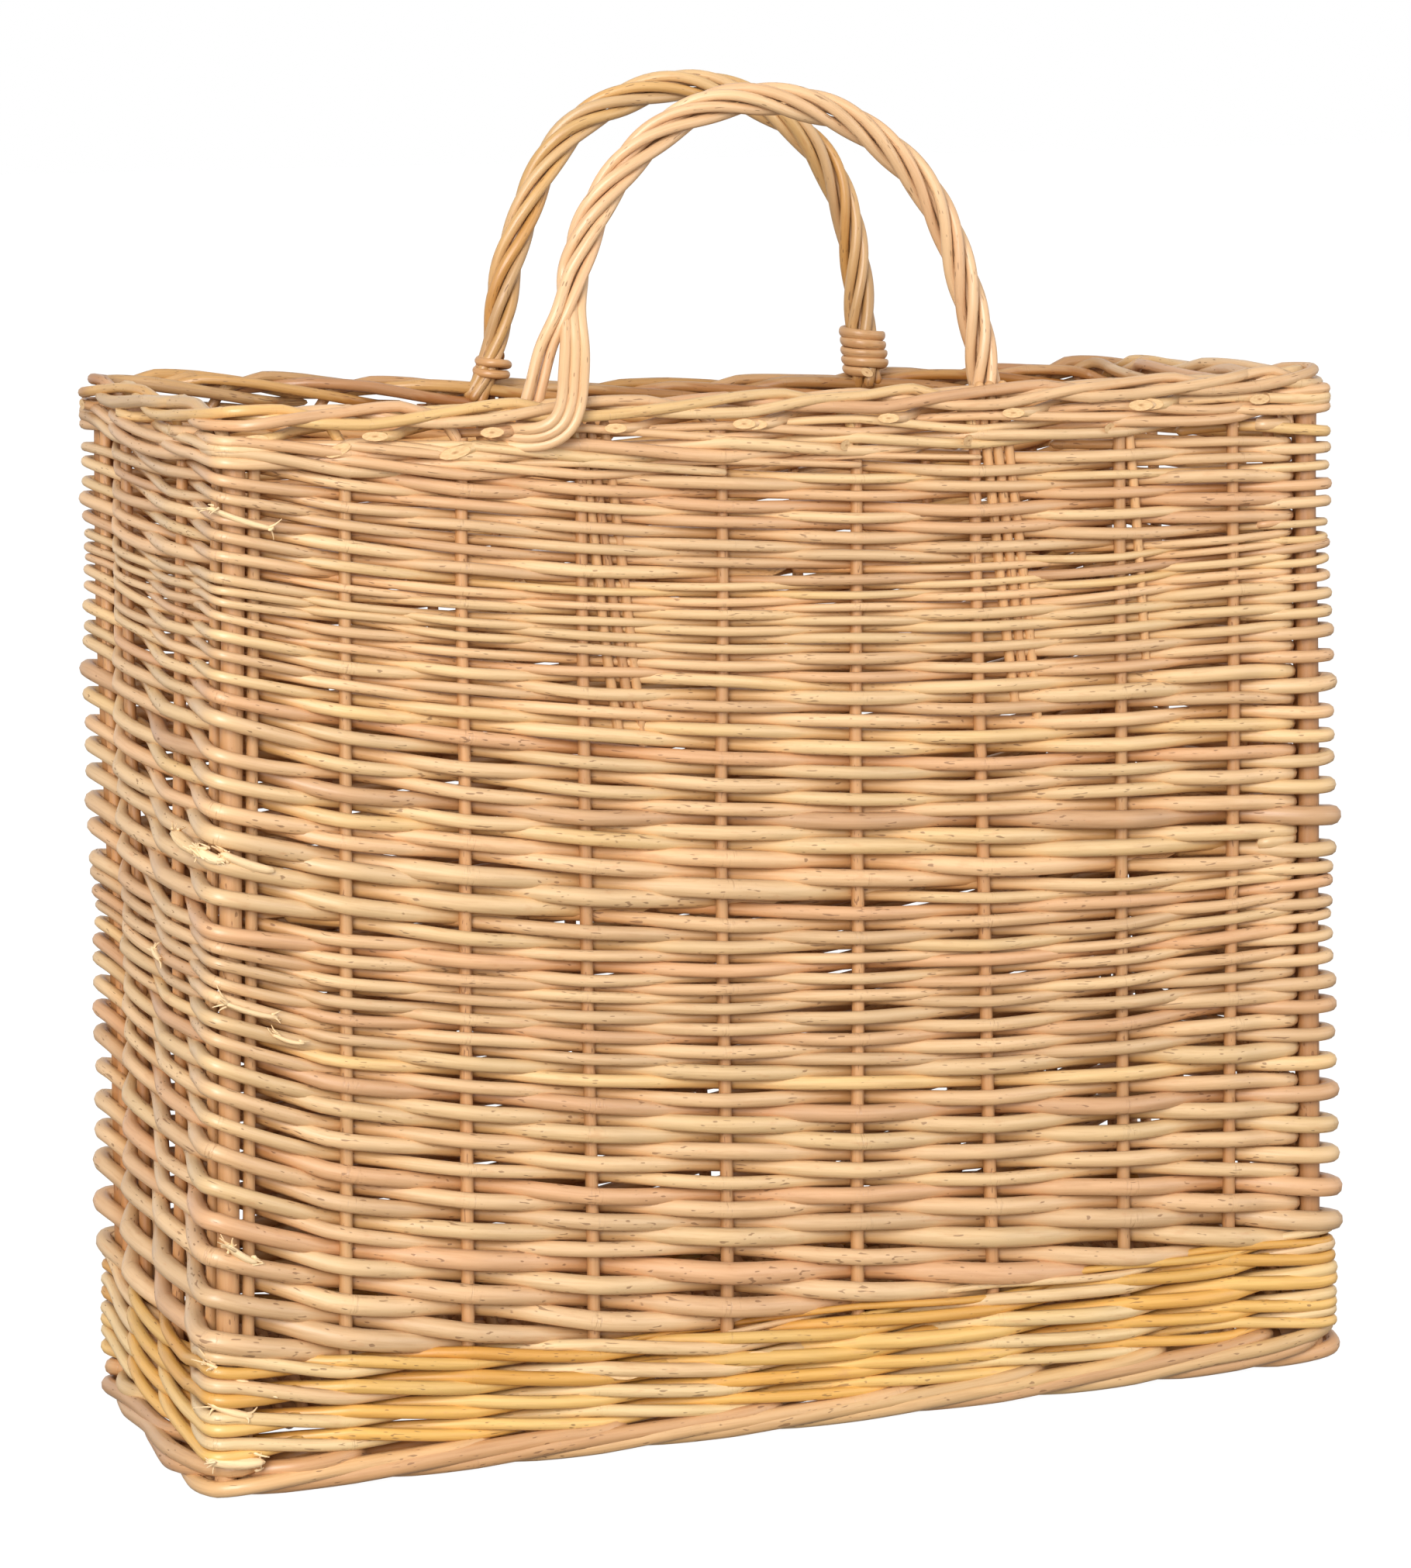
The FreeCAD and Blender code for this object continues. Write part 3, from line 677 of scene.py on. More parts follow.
# ------------------------------------------------------------------ rods laid round the wall (wales, borders, foot)
def girth_at(k, z):
    """Distance travelled round the sharp-cornered stake line to place k (any whole number) at height z."""
    turn, i = divmod(k, NP_)
    hx, hy = half_x(z) - INSET, half_y(z) - INSET
    kind, v = PLACES[i]
    total = 4 * hx + 4 * hy
    if kind == "corner":
        s = {(-1, -1): 2 * hx, (-1, 1): 2 * hx + 2 * hy, (1, 1): 4 * hx + 2 * hy, (1, -1): total}[v]
    else:
        c = v[0] + (v[1] - v[0]) * z / HEIGHT
        s = {"front": hx - c, "left": 2 * hx + hy + c, "back": 2 * hx + 2 * hy + hx + c, "right": 4 * hx + 2 * hy + hy - c}[kind]
    return s + turn * total


def girth(n, z):
    k = math.floor(n)
    a, b = girth_at(k, z), girth_at(k + 1, z)
    return a + (b - a) * (n - k)


def ring_point(s, z, off, w=9.0):
    """Plan point at distance s round the wall, off mm outside the stake line, with corners of radius w."""
    hx, hy = float(half_x(z) - INSET), float(half_y(z) - INSET)
    total = 4 * hx + 4 * hy
    s = s % total
    sides = [((hx, -hy), (-1, 0), (0, -1), 2 * hx), ((-hx, -hy), (0, 1), (-1, 0), 2 * hy),
             ((-hx, hy), (1, 0), (0, 1), 2 * hx), ((hx, hy), (0, -1), (1, 0), 2 * hy)]
    for i, (p, d, n, L) in enumerate(sides):
        if s <= L:
            p, d, n = np.array(p), np.array(d, float), np.array(n, float)
            if s < w or s > L - w:
                q = sides[(i - 1) % 4] if s < w else sides[(i + 1) % 4]
                n2, d2 = np.array(q[2], float), np.array(q[1], float)
                corner = p if s < w else p + d * L
                if s < w:
                    first, second, a = n2, n, 0.5 + 0.5 * s / w
                else:
                    first, second, a = n, n2, 0.5 * (s - (L - w)) / w
                c = corner - first * w - second * w
                t = a * math.pi / 2
                return c + (w + off) * (math.cos(t) * first + math.sin(t) * second)
            return p + d * s + n * off
        s -= L
    return np.array([hx, -hy])


# ------------------------------------------------------------------ woven siding
def woven_path(k0, n_list, z_list, out_list, rad, kink=0.45, step=5.2, jz=0.6, jd=0.45):
    """A rod that visits places k0+n at heights z, outside (True) or inside (False) of each. Returns points and how near each is to a bend."""
    ctrl, marks = [], []
    for n, z, o, r in zip(n_list, z_list, out_list, rad):
        k = int(round(k0 + n))
        kind, v = PLACES[k % NP_]
        zz = z + rng.normal(0, jz)
        if kind == "corner":
            for i, p in enumerate(corner_points(k, z, o, r)):
                ctrl.append((p[0], p[1]))
                marks.append((n, zz, i == (2 if o else 1)))
        else:
            c, nrm = place(k, z)
            a = (2.8 + r - 1.1 + rng.normal(0, jd)) * (1 if o else -1)
            ctrl.append(tuple(c + nrm * a))
            marks.append((n, zz, True))
    # both ends run on a little way inside, past the last stake
    for side in (0, -1):
        n, z, r = n_list[side], z_list[side], rad[side]
        e = n + (-0.42 if side == 0 else 0.42)
        p = ring_point(girth(k0 + e, z), z, -(2.8 + r + 0.4), 12.0)
        zz = z + (z_list[1] - z_list[0]) * -0.42 if side == 0 else z + (z_list[-1] - z_list[-2]) * 0.42
        if side == 0:
            ctrl.insert(0, tuple(p))
            marks.insert(0, (e, zz, True))
        else:
            ctrl.append(tuple(p))
            marks.append((e, zz, True))
    ctrl = np.array(ctrl)
    t = chord(ctrl)
    f = natural_spline(t, ctrl)
    # heights follow the same length, through the marked points
    mt = np.array([ti for ti, m in zip(t, marks) if m[2]])
    mz = np.array([m[1] for m in marks if m[2]])
    fz = natural_spline(mt, mz)
    x = [0.0]
    for a, b in zip(t[:-1], t[1:]):
        d = b - a
        m = max(2, int(math.ceil(d / step))) if d < 15 else max(3, int(math.ceil(d / step)))
        x.extend(list(a + d * (np.arange(1, m + 1) / m)))
    x = np.array(x)
    Q = f(x)
    if kink:
        Lp = np.stack([np.interp(x, t, ctrl[:, i]) for i in range(2)], 1)
        Q = Q * (1 - kink) + Lp * kink
    Z = fz(np.clip(x, mt[0], mt[-1]))
    Zl = np.interp(x, mt, mz)
    Z = Z * 0.6 + Zl * 0.4
    P = np.column_stack([Q, Z])
    near = np.min(np.abs(x[:, None] - mt[None, :]), axis=1)
    K = np.exp(-(near / 3.0) ** 2)
    return P, x / x[-1], K


LOWER = [56.9, 72.2, 86.3, 98.5, 109.9, 122.1, 134.2, 145.8, 156.3, 165.9, 174.9, 183.6, 191.8, 199.6, 209.2, 219.0]
MIDDLE = [233.4, 246.2, 257.7, 267.6, 277.8, 288.1, 299.5, 309.8, 318.1, 326.2, 334.0, 340.8, 347.2, 352.9, 358.7]
UPPER = [368.1, 376.5, 385.0, 393.1, 400.4]


def randing(name, levels, z_start, z_end, pieces, node, d_butt, d_tip, hue_mid):
    lv = np.array(levels)
    n_last = 2 * len(levels)
    zs = [z_start]
    for j, z in enumerate(levels):
        zs.append(z)
        zs.append((z + levels[j + 1]) / 2 if j + 1 < len(levels) else z_end)
    outs = [i % 2 == 1 for i in range(n_last + 1)]
    pitch = np.gradient(np.concatenate([[2 * lv[0] - lv[1]], lv, [2 * z_end - lv[-1]]]))[1:-1]
    batches = [Rods(f"{name}_{i + 1}") for i in range(pieces)]
    per = NP_ / pieces
    for k in range(NP_):
        scale = float(np.clip(rng.normal(1.0, 0.08), 0.84, 1.16))
        dia = np.interp(np.arange(n_last + 1), [0, n_last], [d_butt, d_tip])
        pd = 0.595 * np.interp(np.arange(n_last + 1), 2 * np.arange(len(lv)) + 1, pitch)
        rr = (0.25 * dia + 0.75 * pd) * 0.5 * scale
        P, u, K = woven_path(k, range(n_last + 1), zs, outs, rr)
        P[:, 2] += rise(P[:, 0], P[:, 1], P[:, 2])
        R = np.interp(u, np.linspace(0.02, 0.98, n_last + 1), rr)
        R *= 1 + wobble(len(R), 0.025, 60, 5)
        P += np.column_stack([wobble(len(R), 0.15, 40, 5), wobble(len(R), 0.15, 40, 5), wobble(len(R), 0.3, 45, 5)])
        hue = float(np.clip(rng.normal(hue_mid, 0.2), 0, 1))
        batches[int(k // per)].rod(P, R, hue=hue, value=rng.beta(2.2, 2.2), sides=10, start=("cut", (0, 0, 1)), end=("point",), kinks=K * 0.8)
    obs = []
    for i, b in enumerate(batches):
        obs.append(b.build([M_SIDING, M_CUT], [node] if i == 0 else [], "siding_willow"))
    return obs


randing("siding_lower", LOWER, 48.5, 225.0, 4, "siding_lower", 7.2, 4.2, 0.38)
randing("siding_middle", MIDDLE, 227.8, 362.0, 4, "siding_middle", 7.2, 3.4, 0.42)
randing("siding_upper", UPPER, 364.0, 405.5, 2, "siding_upper", 5.2, 3.4, 0.36)


# broken and torn rod ends round the front left corner: (from, to, radius, splinters at the start, at the end)
torn = Rods("siding_torn_ends")
for p, q, r, n0, n1 in (((-251.3, -56.0, 267.5), (-252.6, -90.0, 265.5), 2.9, 9, 12), ((-252.6, -100.5, 266.5), (-246.8, -106.6, 263.5), 2.7, 14, 8),
                        ((-245.5, -106.4, 265.5), (-226.0, -103.6, 257.5), 2.6, 12, 0), ((-247.0, -108.4, 401.5), (-222.5, -107.2, 392.5), 1.7, 7, 3),
                        ((-247.0, -105.0, 206.5), (-225.0, -100.8, 198.0), 1.5, 6, 4), ((-226.0, -100.4, 191.0), (-214.0, -100.0, 186.5), 1.2, 5, 2),
                        ((-247.5, -101.6, 107.5), (-236.5, -99.2, 99.5), 2.1, 8, 8), ((-255.0, -94.4, 58.5), (-229.5, -95.6, 44.0), 1.6, 12, 1),
                        ((-254.5, -94.4, 42.0), (-239.5, -96.6, 36.0), 2.2, 6, 3), ((-255.5, -93.8, 18.5), (-236.0, -97.0, 16.5), 3.1, 6, 11),
                        ((-252.4, -13.0, 214.0), (-252.5, -25.0, 211.0), 1.2, 5, 3)):
    p, q = np.array(p), np.array(q)
    d = (q - p) / np.linalg.norm(q - p)
    m = 8
    u = np.linspace(0, 1, m)[:, None]
    bowed = np.sin(u * math.pi) * np.array([0.0, 0.0, -0.8])
    torn.rod(p + (q - p) * u + bowed, r * (0.75 + 0.25 * np.sin(u[:, 0] * math.pi)), hue=float(rng.uniform(0.2, 0.7)), value=0.8, sides=8, start=("point",), end=("point",), oval=0.8)
    for base, w, n in ((p, -d, n0), (q, d, n1)):
        for _ in range(n):
            o = rng.normal(0, 0.5, 3) * r * 0.8
            v = w + rng.normal(0, 0.38, 3)
            L = rng.uniform(2.0, 5.5)
            c = rng.normal(0, 1.2, 3)
            u2 = np.linspace(0, 1, 5)[:, None]
            torn.rod(base + o - w * 1.5 + v * L * u2 + c * u2 ** 2, np.linspace(0.7, 0.2, 5) * rng.uniform(0.7, 1.3), hue=float(rng.uniform(0.2, 0.7)), value=0.9, sides=5, start=("point",), end=("point",))
torn.build([M_TORN, M_CUT], [], "siding_willow")


# ------------------------------------------------------------------ stakes, posts, bye-stakes
def upright(batch, x0, y0, x1, y1, z0, z1, r0, r1, hue=None, wob=0.45):
    n = int((z1 - z0) / 7) + 1
    z = np.linspace(z0, z1, n)
    t = z / HEIGHT
    x = x0 + (x1 - x0) * t + wobble(n, wob, 90, 7)
    y = y0 + (y1 - y0) * t + wobble(n, wob * 0.5, 90, 7)
    R = (r0 + (r1 - r0) * (z - z0) / (z1 - z0)) * (1 + wobble(n, 0.02, 60, 7))
    batch.rod(np.column_stack([x, y, z]), R, hue=hue, value=rng.beta(2, 2), start=("cut", (0, 0, -1)), end=("cut", (0, 0, 1)))


def stakes(node, side):
    b = Rods(node)
    for kind, v in PLACES:
        if kind != side:
            continue
        k = PLACES.index((kind, v))
        p0, p1 = place(k, 0.0)[0], place(k, HEIGHT)[0]
        upright(b, p0[0], p0[1], p1[0], p1[1], 4.0, 424.0, 2.9, 2.5, hue=float(np.clip(rng.normal(0.55, 0.25), 0, 1)))
    return b.build([M_STAKE, M_CUT], [node], "stake_willow")


for node, side in (("stakes_front", "front"), ("stakes_back", "back"), ("stakes_left", "left"), ("stakes_right", "right")):
    stakes(node, side)
for node, ex, ey in (("corner_post_front_left", -1, -1), ("corner_post_back_left", -1, 1),
                     ("corner_post_front_right", 1, -1), ("corner_post_back_right", 1, 1)):
    b = Rods(node)
    upright(b, ex * (HX0 - 10), ey * (HY0 - INSET), ex * (HX1 - 10), ey * (HY1 - INSET), 4.0, 424.0, 4.7, 4.7,
            hue=0.15 if (ex, ey) == (1, -1) else 0.6, wob=0.3)
    b.build([M_POST, M_CUT], [node], "post_willow")
b = Rods("bye_stakes")
for ex in (-1, 1):
    for ey in (-1, 1):
        m, n = (23.5, 8.6) if (ex, ey) == (1, -1) else (18.6, 0.0)
        upright(b, ex * (HX0 - m), ey * (HY0 - INSET - n), ex * (HX1 - m), ey * (HY1 - INSET - n), 4, 424, 2.6, 2.5, hue=0.7, wob=0.3)
        upright(b, ex * (HX0 - INSET), ey * (HY0 - 19.6), ex * (HX1 - INSET), ey * (HY1 - 19.6), 4, 424, 2.6, 2.5, hue=0.6, wob=0.3)
upright(b, 191.1, -(HY0 - INSET) - 0.3, 149.5, -(HY1 - INSET) - 0.3, 316.0, 424.0, 2.0, 2.2, hue=0.9, wob=0.3)
b.build([M_STAKE, M_CUT], ["bye_stakes"], "stake_willow")

def laid(ctrls, r, kink=0.0, step=5.0, w=9.0, posts=True):
    """A rod through controls (n, z, off): n counts places leftwards, off is mm outside the stake line."""
    pts, kn = [], []
    for c in ctrls:
        n, z, off = c[:3]
        k = int(round(n))
        if posts and abs(n - k) < 1e-6 and PLACES[k % NP_][0] == "corner":
            cp = corner_points(k, z, off > 0, r)
            za = [z] * len(cp)
            pts += [(p[0], p[1], q) for p, q in zip(cp, za)]
            kn += [0.0] * (len(cp) // 2) + [1.0] + [0.0] * (len(cp) - len(cp) // 2 - 1)
        else:
            x, y = ring_point(girth(n, z), z, off, w)
            pts.append((x, y, z))
            kn.append(1.0)
    P = np.array(pts)
    t = chord(P[:, :2]) + 0.3 * np.arange(len(P))
    f = natural_spline(t, P)
    x = [0.0]
    for a, b in zip(t[:-1], t[1:]):
        m = max(2, int(math.ceil((b - a) / step)))
        x.extend(list(a + (b - a) * (np.arange(1, m + 1) / m)))
    x = np.array(x)
    Q = f(x)
    L = np.stack([np.interp(x, t, P[:, i]) for i in range(3)], 1)
    Q = Q * (1 - kink) + L * kink
    Q[:, 2] = 0.5 * Q[:, 2] + 0.5 * L[:, 2]
    tk = t[np.array(kn) > 0.5]
    K = np.exp(-(np.min(np.abs(x[:, None] - tk[None, :]), axis=1) / 3.0) ** 2)
    return Q, x / x[-1], K


def waled(batch, k0, j, N0, N1, zf, d, rf, hue, end, start, inside=1, cut_out=None, jz=0.35, field=None):
    """One strand of a three-rod wale: outside two places, inside one, climbing as it goes."""
    field = field or (rise if zf(N0) > 200 else sag)
    ctrls = []
    Ns = list(range(int(math.ceil(N0)), int(math.floor(N1)) + 1))
    for N in Ns:
        ph = (N - j) % 3
        r = rf(N)
        if ph == inside % 3:
            ctrls.append((k0 + N, zf(N) + rng.normal(0, jz), -(2.8 + r - 0.8)))
        elif ph == (inside + 1) % 3:
            ctrls.append((k0 + N, zf(N) - d / 2 + rng.normal(0, jz), 2.8 + r - 0.7))
        else:
            ctrls.append((k0 + N, zf(N) + d / 2 + rng.normal(0, jz), 2.8 + r - 0.3))
    if cut_out is not None:
        ctrls.append((k0 + N1, zf(N1) + cut_out[1], cut_out[0]))
    P, u, K = laid(ctrls, rf((N0 + N1) / 2), kink=0.15)
    P[:, 2] += field(P[:, 0], P[:, 1], P[:, 2])
    if zf(N0) > 200:
        P[:, 2] += lift(P[:, 0], P[:, 1]) * np.clip((P[:, 2] - 404.0) / 22.0, 0, 1)
    R = np.array([rf(N0 + (N1 - N0) * v) for v in u]) * (1 + wobble(len(u), 0.02, 60, 5))
    P += np.column_stack([wobble(len(R), 0.12, 40, 5), wobble(len(R), 0.12, 40, 5), wobble(len(R), 0.25, 50, 5)])
    if end[0] == "cut" and end[1] is None:
        end = ("cut", cut_dir(P))
    batch.rod(P, R, hue=hue, value=rng.beta(2.5, 2), start=start, end=end, kinks=K * 0.5)


# bottom wale: three strands, two full turns from tips to butts, then two more from butts to tips
wb = [Rods("bottom_wale_1"), Rods("bottom_wale_2")]
zw = lambda N: np.interp(N, [-11, 0, 24, 48, 72, 84, 99], [19.2, 21.6, 31.3, 42.0, 53.0, 57.0, 59.3])
ra = lambda N: np.interp(N, [-11, -4, 10, 36, 44, 50], [1.8, 2.5, 2.8, 2.85, 3.3, 3.5])
rb = lambda N: np.interp(N, [44, 50, 60, 80, 90, 99], [3.5, 3.1, 2.8, 2.6, 2.1, 1.1])
for j in range(3):
    waled(wb[0], 4, j, j - 11, 46.82 + j, zw, 4.9, ra, [0.80, 0.30, 0.62][j], ("cut", None), ("point",), cut_out=(8.4, 1.6))
    waled(wb[1], 4, j, 46 + j, 95 + j, zw, 4.9, rb, [0.72, 0.18, 0.88][j], ("point",), ("cut", (0, 1, 0)))
for i, b in enumerate(wb):
    b.build([M_WALE, M_CUT], ["bottom_wale"] if i == 0 else [], "wale_willow")

# top wale: two turns of the same under the border
tw = Rods("top_wale")
zt = lambda N: np.interp(N, [2, 26, 52], [407.6, 414.6, 422.8])
for j in range(3):
    waled(tw, 0, j, 2 + j, 25.12 + j, zt, 4.8, lambda N: np.interp(N, [2, 6, 12, 27], [1.1, 2.3, 2.6, 2.2]), float(rng.uniform(0.2, 0.7)), ("cut", None), ("point",), inside=1, cut_out=(7.6, 0.0))
    waled(tw, 0, j, 25 + j, 30.1 + j, zt, 4.8, lambda N: np.interp(N, [25, 28, 32], [1.5, 2.8, 2.2]), float(rng.uniform(0.2, 0.7)), ("cut", None), ("point",), inside=1, cut_out=(7.4, 0.0))
    waled(tw, 0, j, 28 + j, 52 + j, zt, 4.8, lambda N: np.interp(N, [28, 32, 44, 52], [1.5, 2.3, 2.6, 1.8]), float(rng.uniform(0.2, 0.7)), ("point",), ("point",), inside=1)
tw.build([M_BORDER, M_CUT], ["top_wale"], "border_willow")

# foot: every stake's lower end is laid leftwards along the outside, down to the ground, and tucked under
foot = Rods("foot_border")
lead_in = {7: -0.07, 6: -0.12, 5: -0.2, 4: -0.38, 3: -0.42, 2: -0.33, 1: -0.33, 0: -0.43}
for k in range(NP_):
    r = float(np.clip(rng.normal(3.6, 0.15), 3.3, 3.9))
    a = lead_in.get(k, -0.3)
    q = lambda v: v + rng.normal(0, 0.3)
    ctrls = [(k - 1.0, 30.0, 0.0), (k - 0.95, 22.0, -2.6), (k - 0.8, 15.5, -6.4), (k - 0.55, q(12.2), -8.4), (k + a - 0.14, 11.8, -6.6), (k + a - 0.04, 13.0, -3.0), (k + a + 0.03, 14.9, 1.8),
             (k + a + 0.15, q(14.7), 5.2), (k + a + 0.5, q(13.4), 6.6), (k + 1.3, q(9.5), 7.6), (k + 1.99, max(r + 0.1, q(5.2)), 6.8), (k + 2.5, r + 0.3, 3.6),
             (k + 2.9, r + 0.9, -3.5), (k + 3.2, r + 3.0, -10.0)]
    P, u, K = laid(ctrls, r, kink=0.12, w=11.0, posts=False)
    P[:, 2] += sag(P[:, 0], P[:, 1], 0 * P[:, 2]) * np.clip((P[:, 2] - r) / 9.0, 0, 1) * 0.7
    P[:, 2] = np.maximum(P[:, 2], r + 0.05)
    P[:, 0] += 3.4 * np.clip((P[:, 0] - 228.0) / 22.0, 0, 1) * np.clip((-P[:, 1] - 55.0) / 30.0, 0, 1)
    R = np.full(len(P), r) * (1 + wobble(len(P), 0.02, 60, 5))
    foot.rod(P, R, hue=float(rng.uniform(0, 1)), value=rng.beta(2, 2), start=("cut", (0, 0, 1)), end=("cut", (0, 0, 1)), kinks=K * 0.4)
foot.build([M_FOOT, M_CUT], ["foot_border"], "foot_willow")

# top border: every stake is bent leftwards, goes inside the next, over the top and down the outside, and is cut off there
tb = [Rods("top_border_1"), Rods("top_border_2")]
ends = {7: 0.0}
for k in range(NP_):
    kind = PLACES[k][0]
    for extra in ((0,) if kind != "corner" else (0, 1)):
        r = float(np.clip(rng.normal(2.5, 0.18), 2.2, 2.9)) - 0.1 * extra
        q = lambda v, s=0.45: v + rng.normal(0, s)
        e = 0.30 * extra
        ctrls = [(k + 0.0 + e, 414.0, 0.0), (k + 0.05 + e, 424.0, 0.3), (k + 0.22 + e, 432.5, 1.0), (k + 0.55 + e, q(436.6), 2.2), (k + 0.95, q(436.0), 4.8),
                 (k + 1.35, q(433.8), 7.0), (k + 1.85, q(430.8), 8.0), (k + 2.25, q(430.6), 6.6), (k + 2.6, q(432.6), 3.2),
                 (k + 2.95, q(435.2), -2.6), (k + 3.5, q(433.6), -6.4), (k + 4.0, q(430.2), -7.4), (k + 4.36, 427.6, -5.8),
                 (k + 4.52 + e * 0.3, 426.4, -0.8), (k + 4.63 + e * 0.3, 425.8, 5.2), (k + 4.80 + e * 0.3, q(425.8), 8.9)]
        P, u, K = laid(ctrls, r, kink=0.15, w=11.0, posts=False)
        P[:, 2] += lift(P[:, 0], P[:, 1]) * np.clip((P[:, 2] - 412.0) / 14.0, 0, 1)
        R = np.full(len(P), r) * (1 + wobble(len(P), 0.03, 60, 5)) * np.interp(u, [0, 0.75, 0.95, 1], [1, 1.0, 0.98, 0.86])
        tb[k // 12].rod(P, R, hue=float(np.clip(rng.normal(0.45, 0.25), 0, 1)), value=rng.beta(2, 2), start=("cut", (0, 0, -1)),
                        end=("cut", cut_dir(P)), kinks=K * 0.4)
for i, b in enumerate(tb):
    b.build([M_BORDER, M_CUT], ["top_border"] if i == 0 else [], "border_willow")

# ------------------------------------------------------------------ handles
FRONT_BOW = [(-93.1, 479.6), (-90.5, 492.0), (-85.3, 504.2), (-79.1, 516.4), (-71.5, 527.0), (-65.4, 533.2), (-55.2, 542.3),
             (-45.0, 548.3), (-31.5, 553.6), (-17.9, 555.9), (-4.3, 555.8), (9.3, 553.6), (23.0, 549.3), (34.0, 543.3), (47.1, 534.2),
             (57.4, 523.6), (66.0, 512.5), (72.7, 500.0), (77.6, 485.1), (82.6, 468.7), (85.6, 454.8), (88.4, 441.8), (89.5, 426.0)]
BACK_BOW = [(-70.0, 426.0), (-63.0, 438.0), (-59.8, 451.6), (-57.7, 465.2), (-54.8, 478.7), (-52.0, 487.5), (-48.2, 499.0), (-42.4, 512.5),
            (-36.3, 525.3), (-28.4, 536.0), (-19.4, 545.2), (-10.2, 551.0), (-0.9, 555.2), (13.9, 559.8), (32.4, 562.2), (47.3, 560.3),
            (65.0, 553.8), (80.9, 544.0), (95.0, 530.5), (103.3, 516.5), (108.4, 501.8), (111.2, 487.8), (112.9, 473.7), (113.9, 459.6),
            (115.0, 442.0), (117.0, 426.0)]


def bow(points, y):
    P = np.array([(x, y, z) for x, z in points])
    t = chord(P)
    f = natural_spline(t[::2] if len(t) % 2 else np.append(t[::2], t[-1]), P[::2] if len(P) % 2 else np.vstack([P[::2], P[-1]]))
    x = np.linspace(0, t[-1], int(t[-1] / 3.0))
    return f(x), x


def strands(node, points, y, lead, phase, feet, n=5, rc=4.7, r=2.42, hues=None, squeeze=None):
    """n rods twisted round a core along the bow; feet(i, s, total, P, T) may lead a strand away from the twist."""
    C, s = bow([(a, min(c, 445.0) + max(c - 445.0, 0.0) * 0.985) for a, c in points], y)
    T = np.gradient(C, axis=0)
    T /= np.linalg.norm(T, axis=1)[:, None]
    Bn = np.tile(np.array([0.0, -1.0, 0.0]), (len(C), 1))
    No = np.cross(Bn, T)
    No /= np.linalg.norm(No, axis=1)[:, None]
    b = Rods(node)
    for i in range(n):
        ph = phase + 2 * math.pi * i / n + 2 * math.pi * s / lead + wobble(len(s), 0.08, 90, 3)
        rcs = rc * (1 + wobble(len(s), 0.03, 70, 3)) * (squeeze(s) if squeeze else 1.0)
        P = C + rcs[:, None] * (np.cos(ph)[:, None] * No + np.sin(ph)[:, None] * Bn)
        rr = r * (1 + wobble(len(s), 0.03, 90, 3)) * rng.normal(1.0, 0.05)
        P, rr = feet(i, s, P, rr, C)
        b.rod(P, rr, hue=(hues[i] if hues else float(np.clip(rng.normal(0.45, 0.25), 0, 1))), value=rng.beta(3, 2),
              start=("round",), end=("round",), sides=12, up=(0, -1, 0))
    return b, C


def ease(x):
    x = np.clip(x, 0, 1)
    return x * x * (3 - 2 * x)


def front_feet(i, s, P, rr, C):
    """Left foot: three strands come outside the border, loop under it and go back in to the left; two go down inside."""
    P = P.copy()
    rr = rr * 0.97
    if i in (2, 3, 4):
        o = {2: 1, 3: 0, 4: -1}[i] * 4.2
        path = np.array([(-93.6 + o * 0.8, -99.5, 472.0), (-94.8 + o * 0.92, -104.5, 459.5), (-98.4 + o, -112.0, 445.0),
                         (-101.6 + o, -116.2, 435.0), (-105.6 + o * 0.95, -116.6, 428.4 - 0.35 * o),
                         (-111.5 + o * 0.75, -113.4, 424.6 - o * 0.7), (-118.5 + o * 0.35, -107.5, 423.6 - o * 0.85), (-126.0, -100.0, 424.5 - 0.8 * o),
                         (-131.0, -93.0, 426.0 - 0.6 * o)])[::-1]
    else:
        o = -2.5 if i == 0 else 2.5
        path = np.array([(-99.3 + o * 0.9, -101.5, 471.5), (-104.4 + o, -98.5, 459.0), (-108.0 + o, -96.5, 445.0), (-110.6 + o * 1.1, -95.0, 434.0), (-112.2 + o * 1.2, -94.0, 421.0)])[::-1]
    keep = s > 6.0
    Q = np.vstack([path, P[keep]])
    rq = np.concatenate([np.full(len(path), rr[keep][0] * 1.0), rr[keep]])
    # smooth join
    t = chord(Q)
    idx = list(range(len(path))) + list(range(len(path) + 1, len(Q), 3)) + [len(Q) - 1]
    idx = sorted(set(idx))
    f = natural_spline(t[idx], Q[idx])
    x = np.linspace(0, t[-1], int(t[-1] / 2.6))
    return f(x), np.interp(x, t, rq)


def plain_feet(i, s, P, rr, C):
    return P, rr


b, _ = strands("front_handle_rope", FRONT_BOW, -HANDLE_Y, 98.0, 0.3, front_feet)
b.build([M_HANDLE, M_CUT], ["front_handle_rope"], "handle_willow")
b, _ = strands("back_handle_rope", BACK_BOW, HANDLE_Y, 104.0, 1.1, plain_feet, squeeze=lambda s: 0.62 + 0.38 * ease((np.abs(s - 12.0) - 6.0) / 30.0))
b.build([M_HANDLE, M_CUT], ["back_handle_rope"], "handle_willow")
for node, pts, y in (("front_handle_core", FRONT_BOW, -HANDLE_Y), ("back_handle_core", BACK_BOW, HANDLE_Y)):
    C, s = bow(pts, y)
    b = Rods(node)
    b.rod(C, np.full(len(C), 2.4), hue=0.2, value=0.2, start=("cut", (0, 0, -1)), end=("cut", (0, 0, -1)))
    b.build([M_HANDLE, M_CUT], [node], "handle_willow")


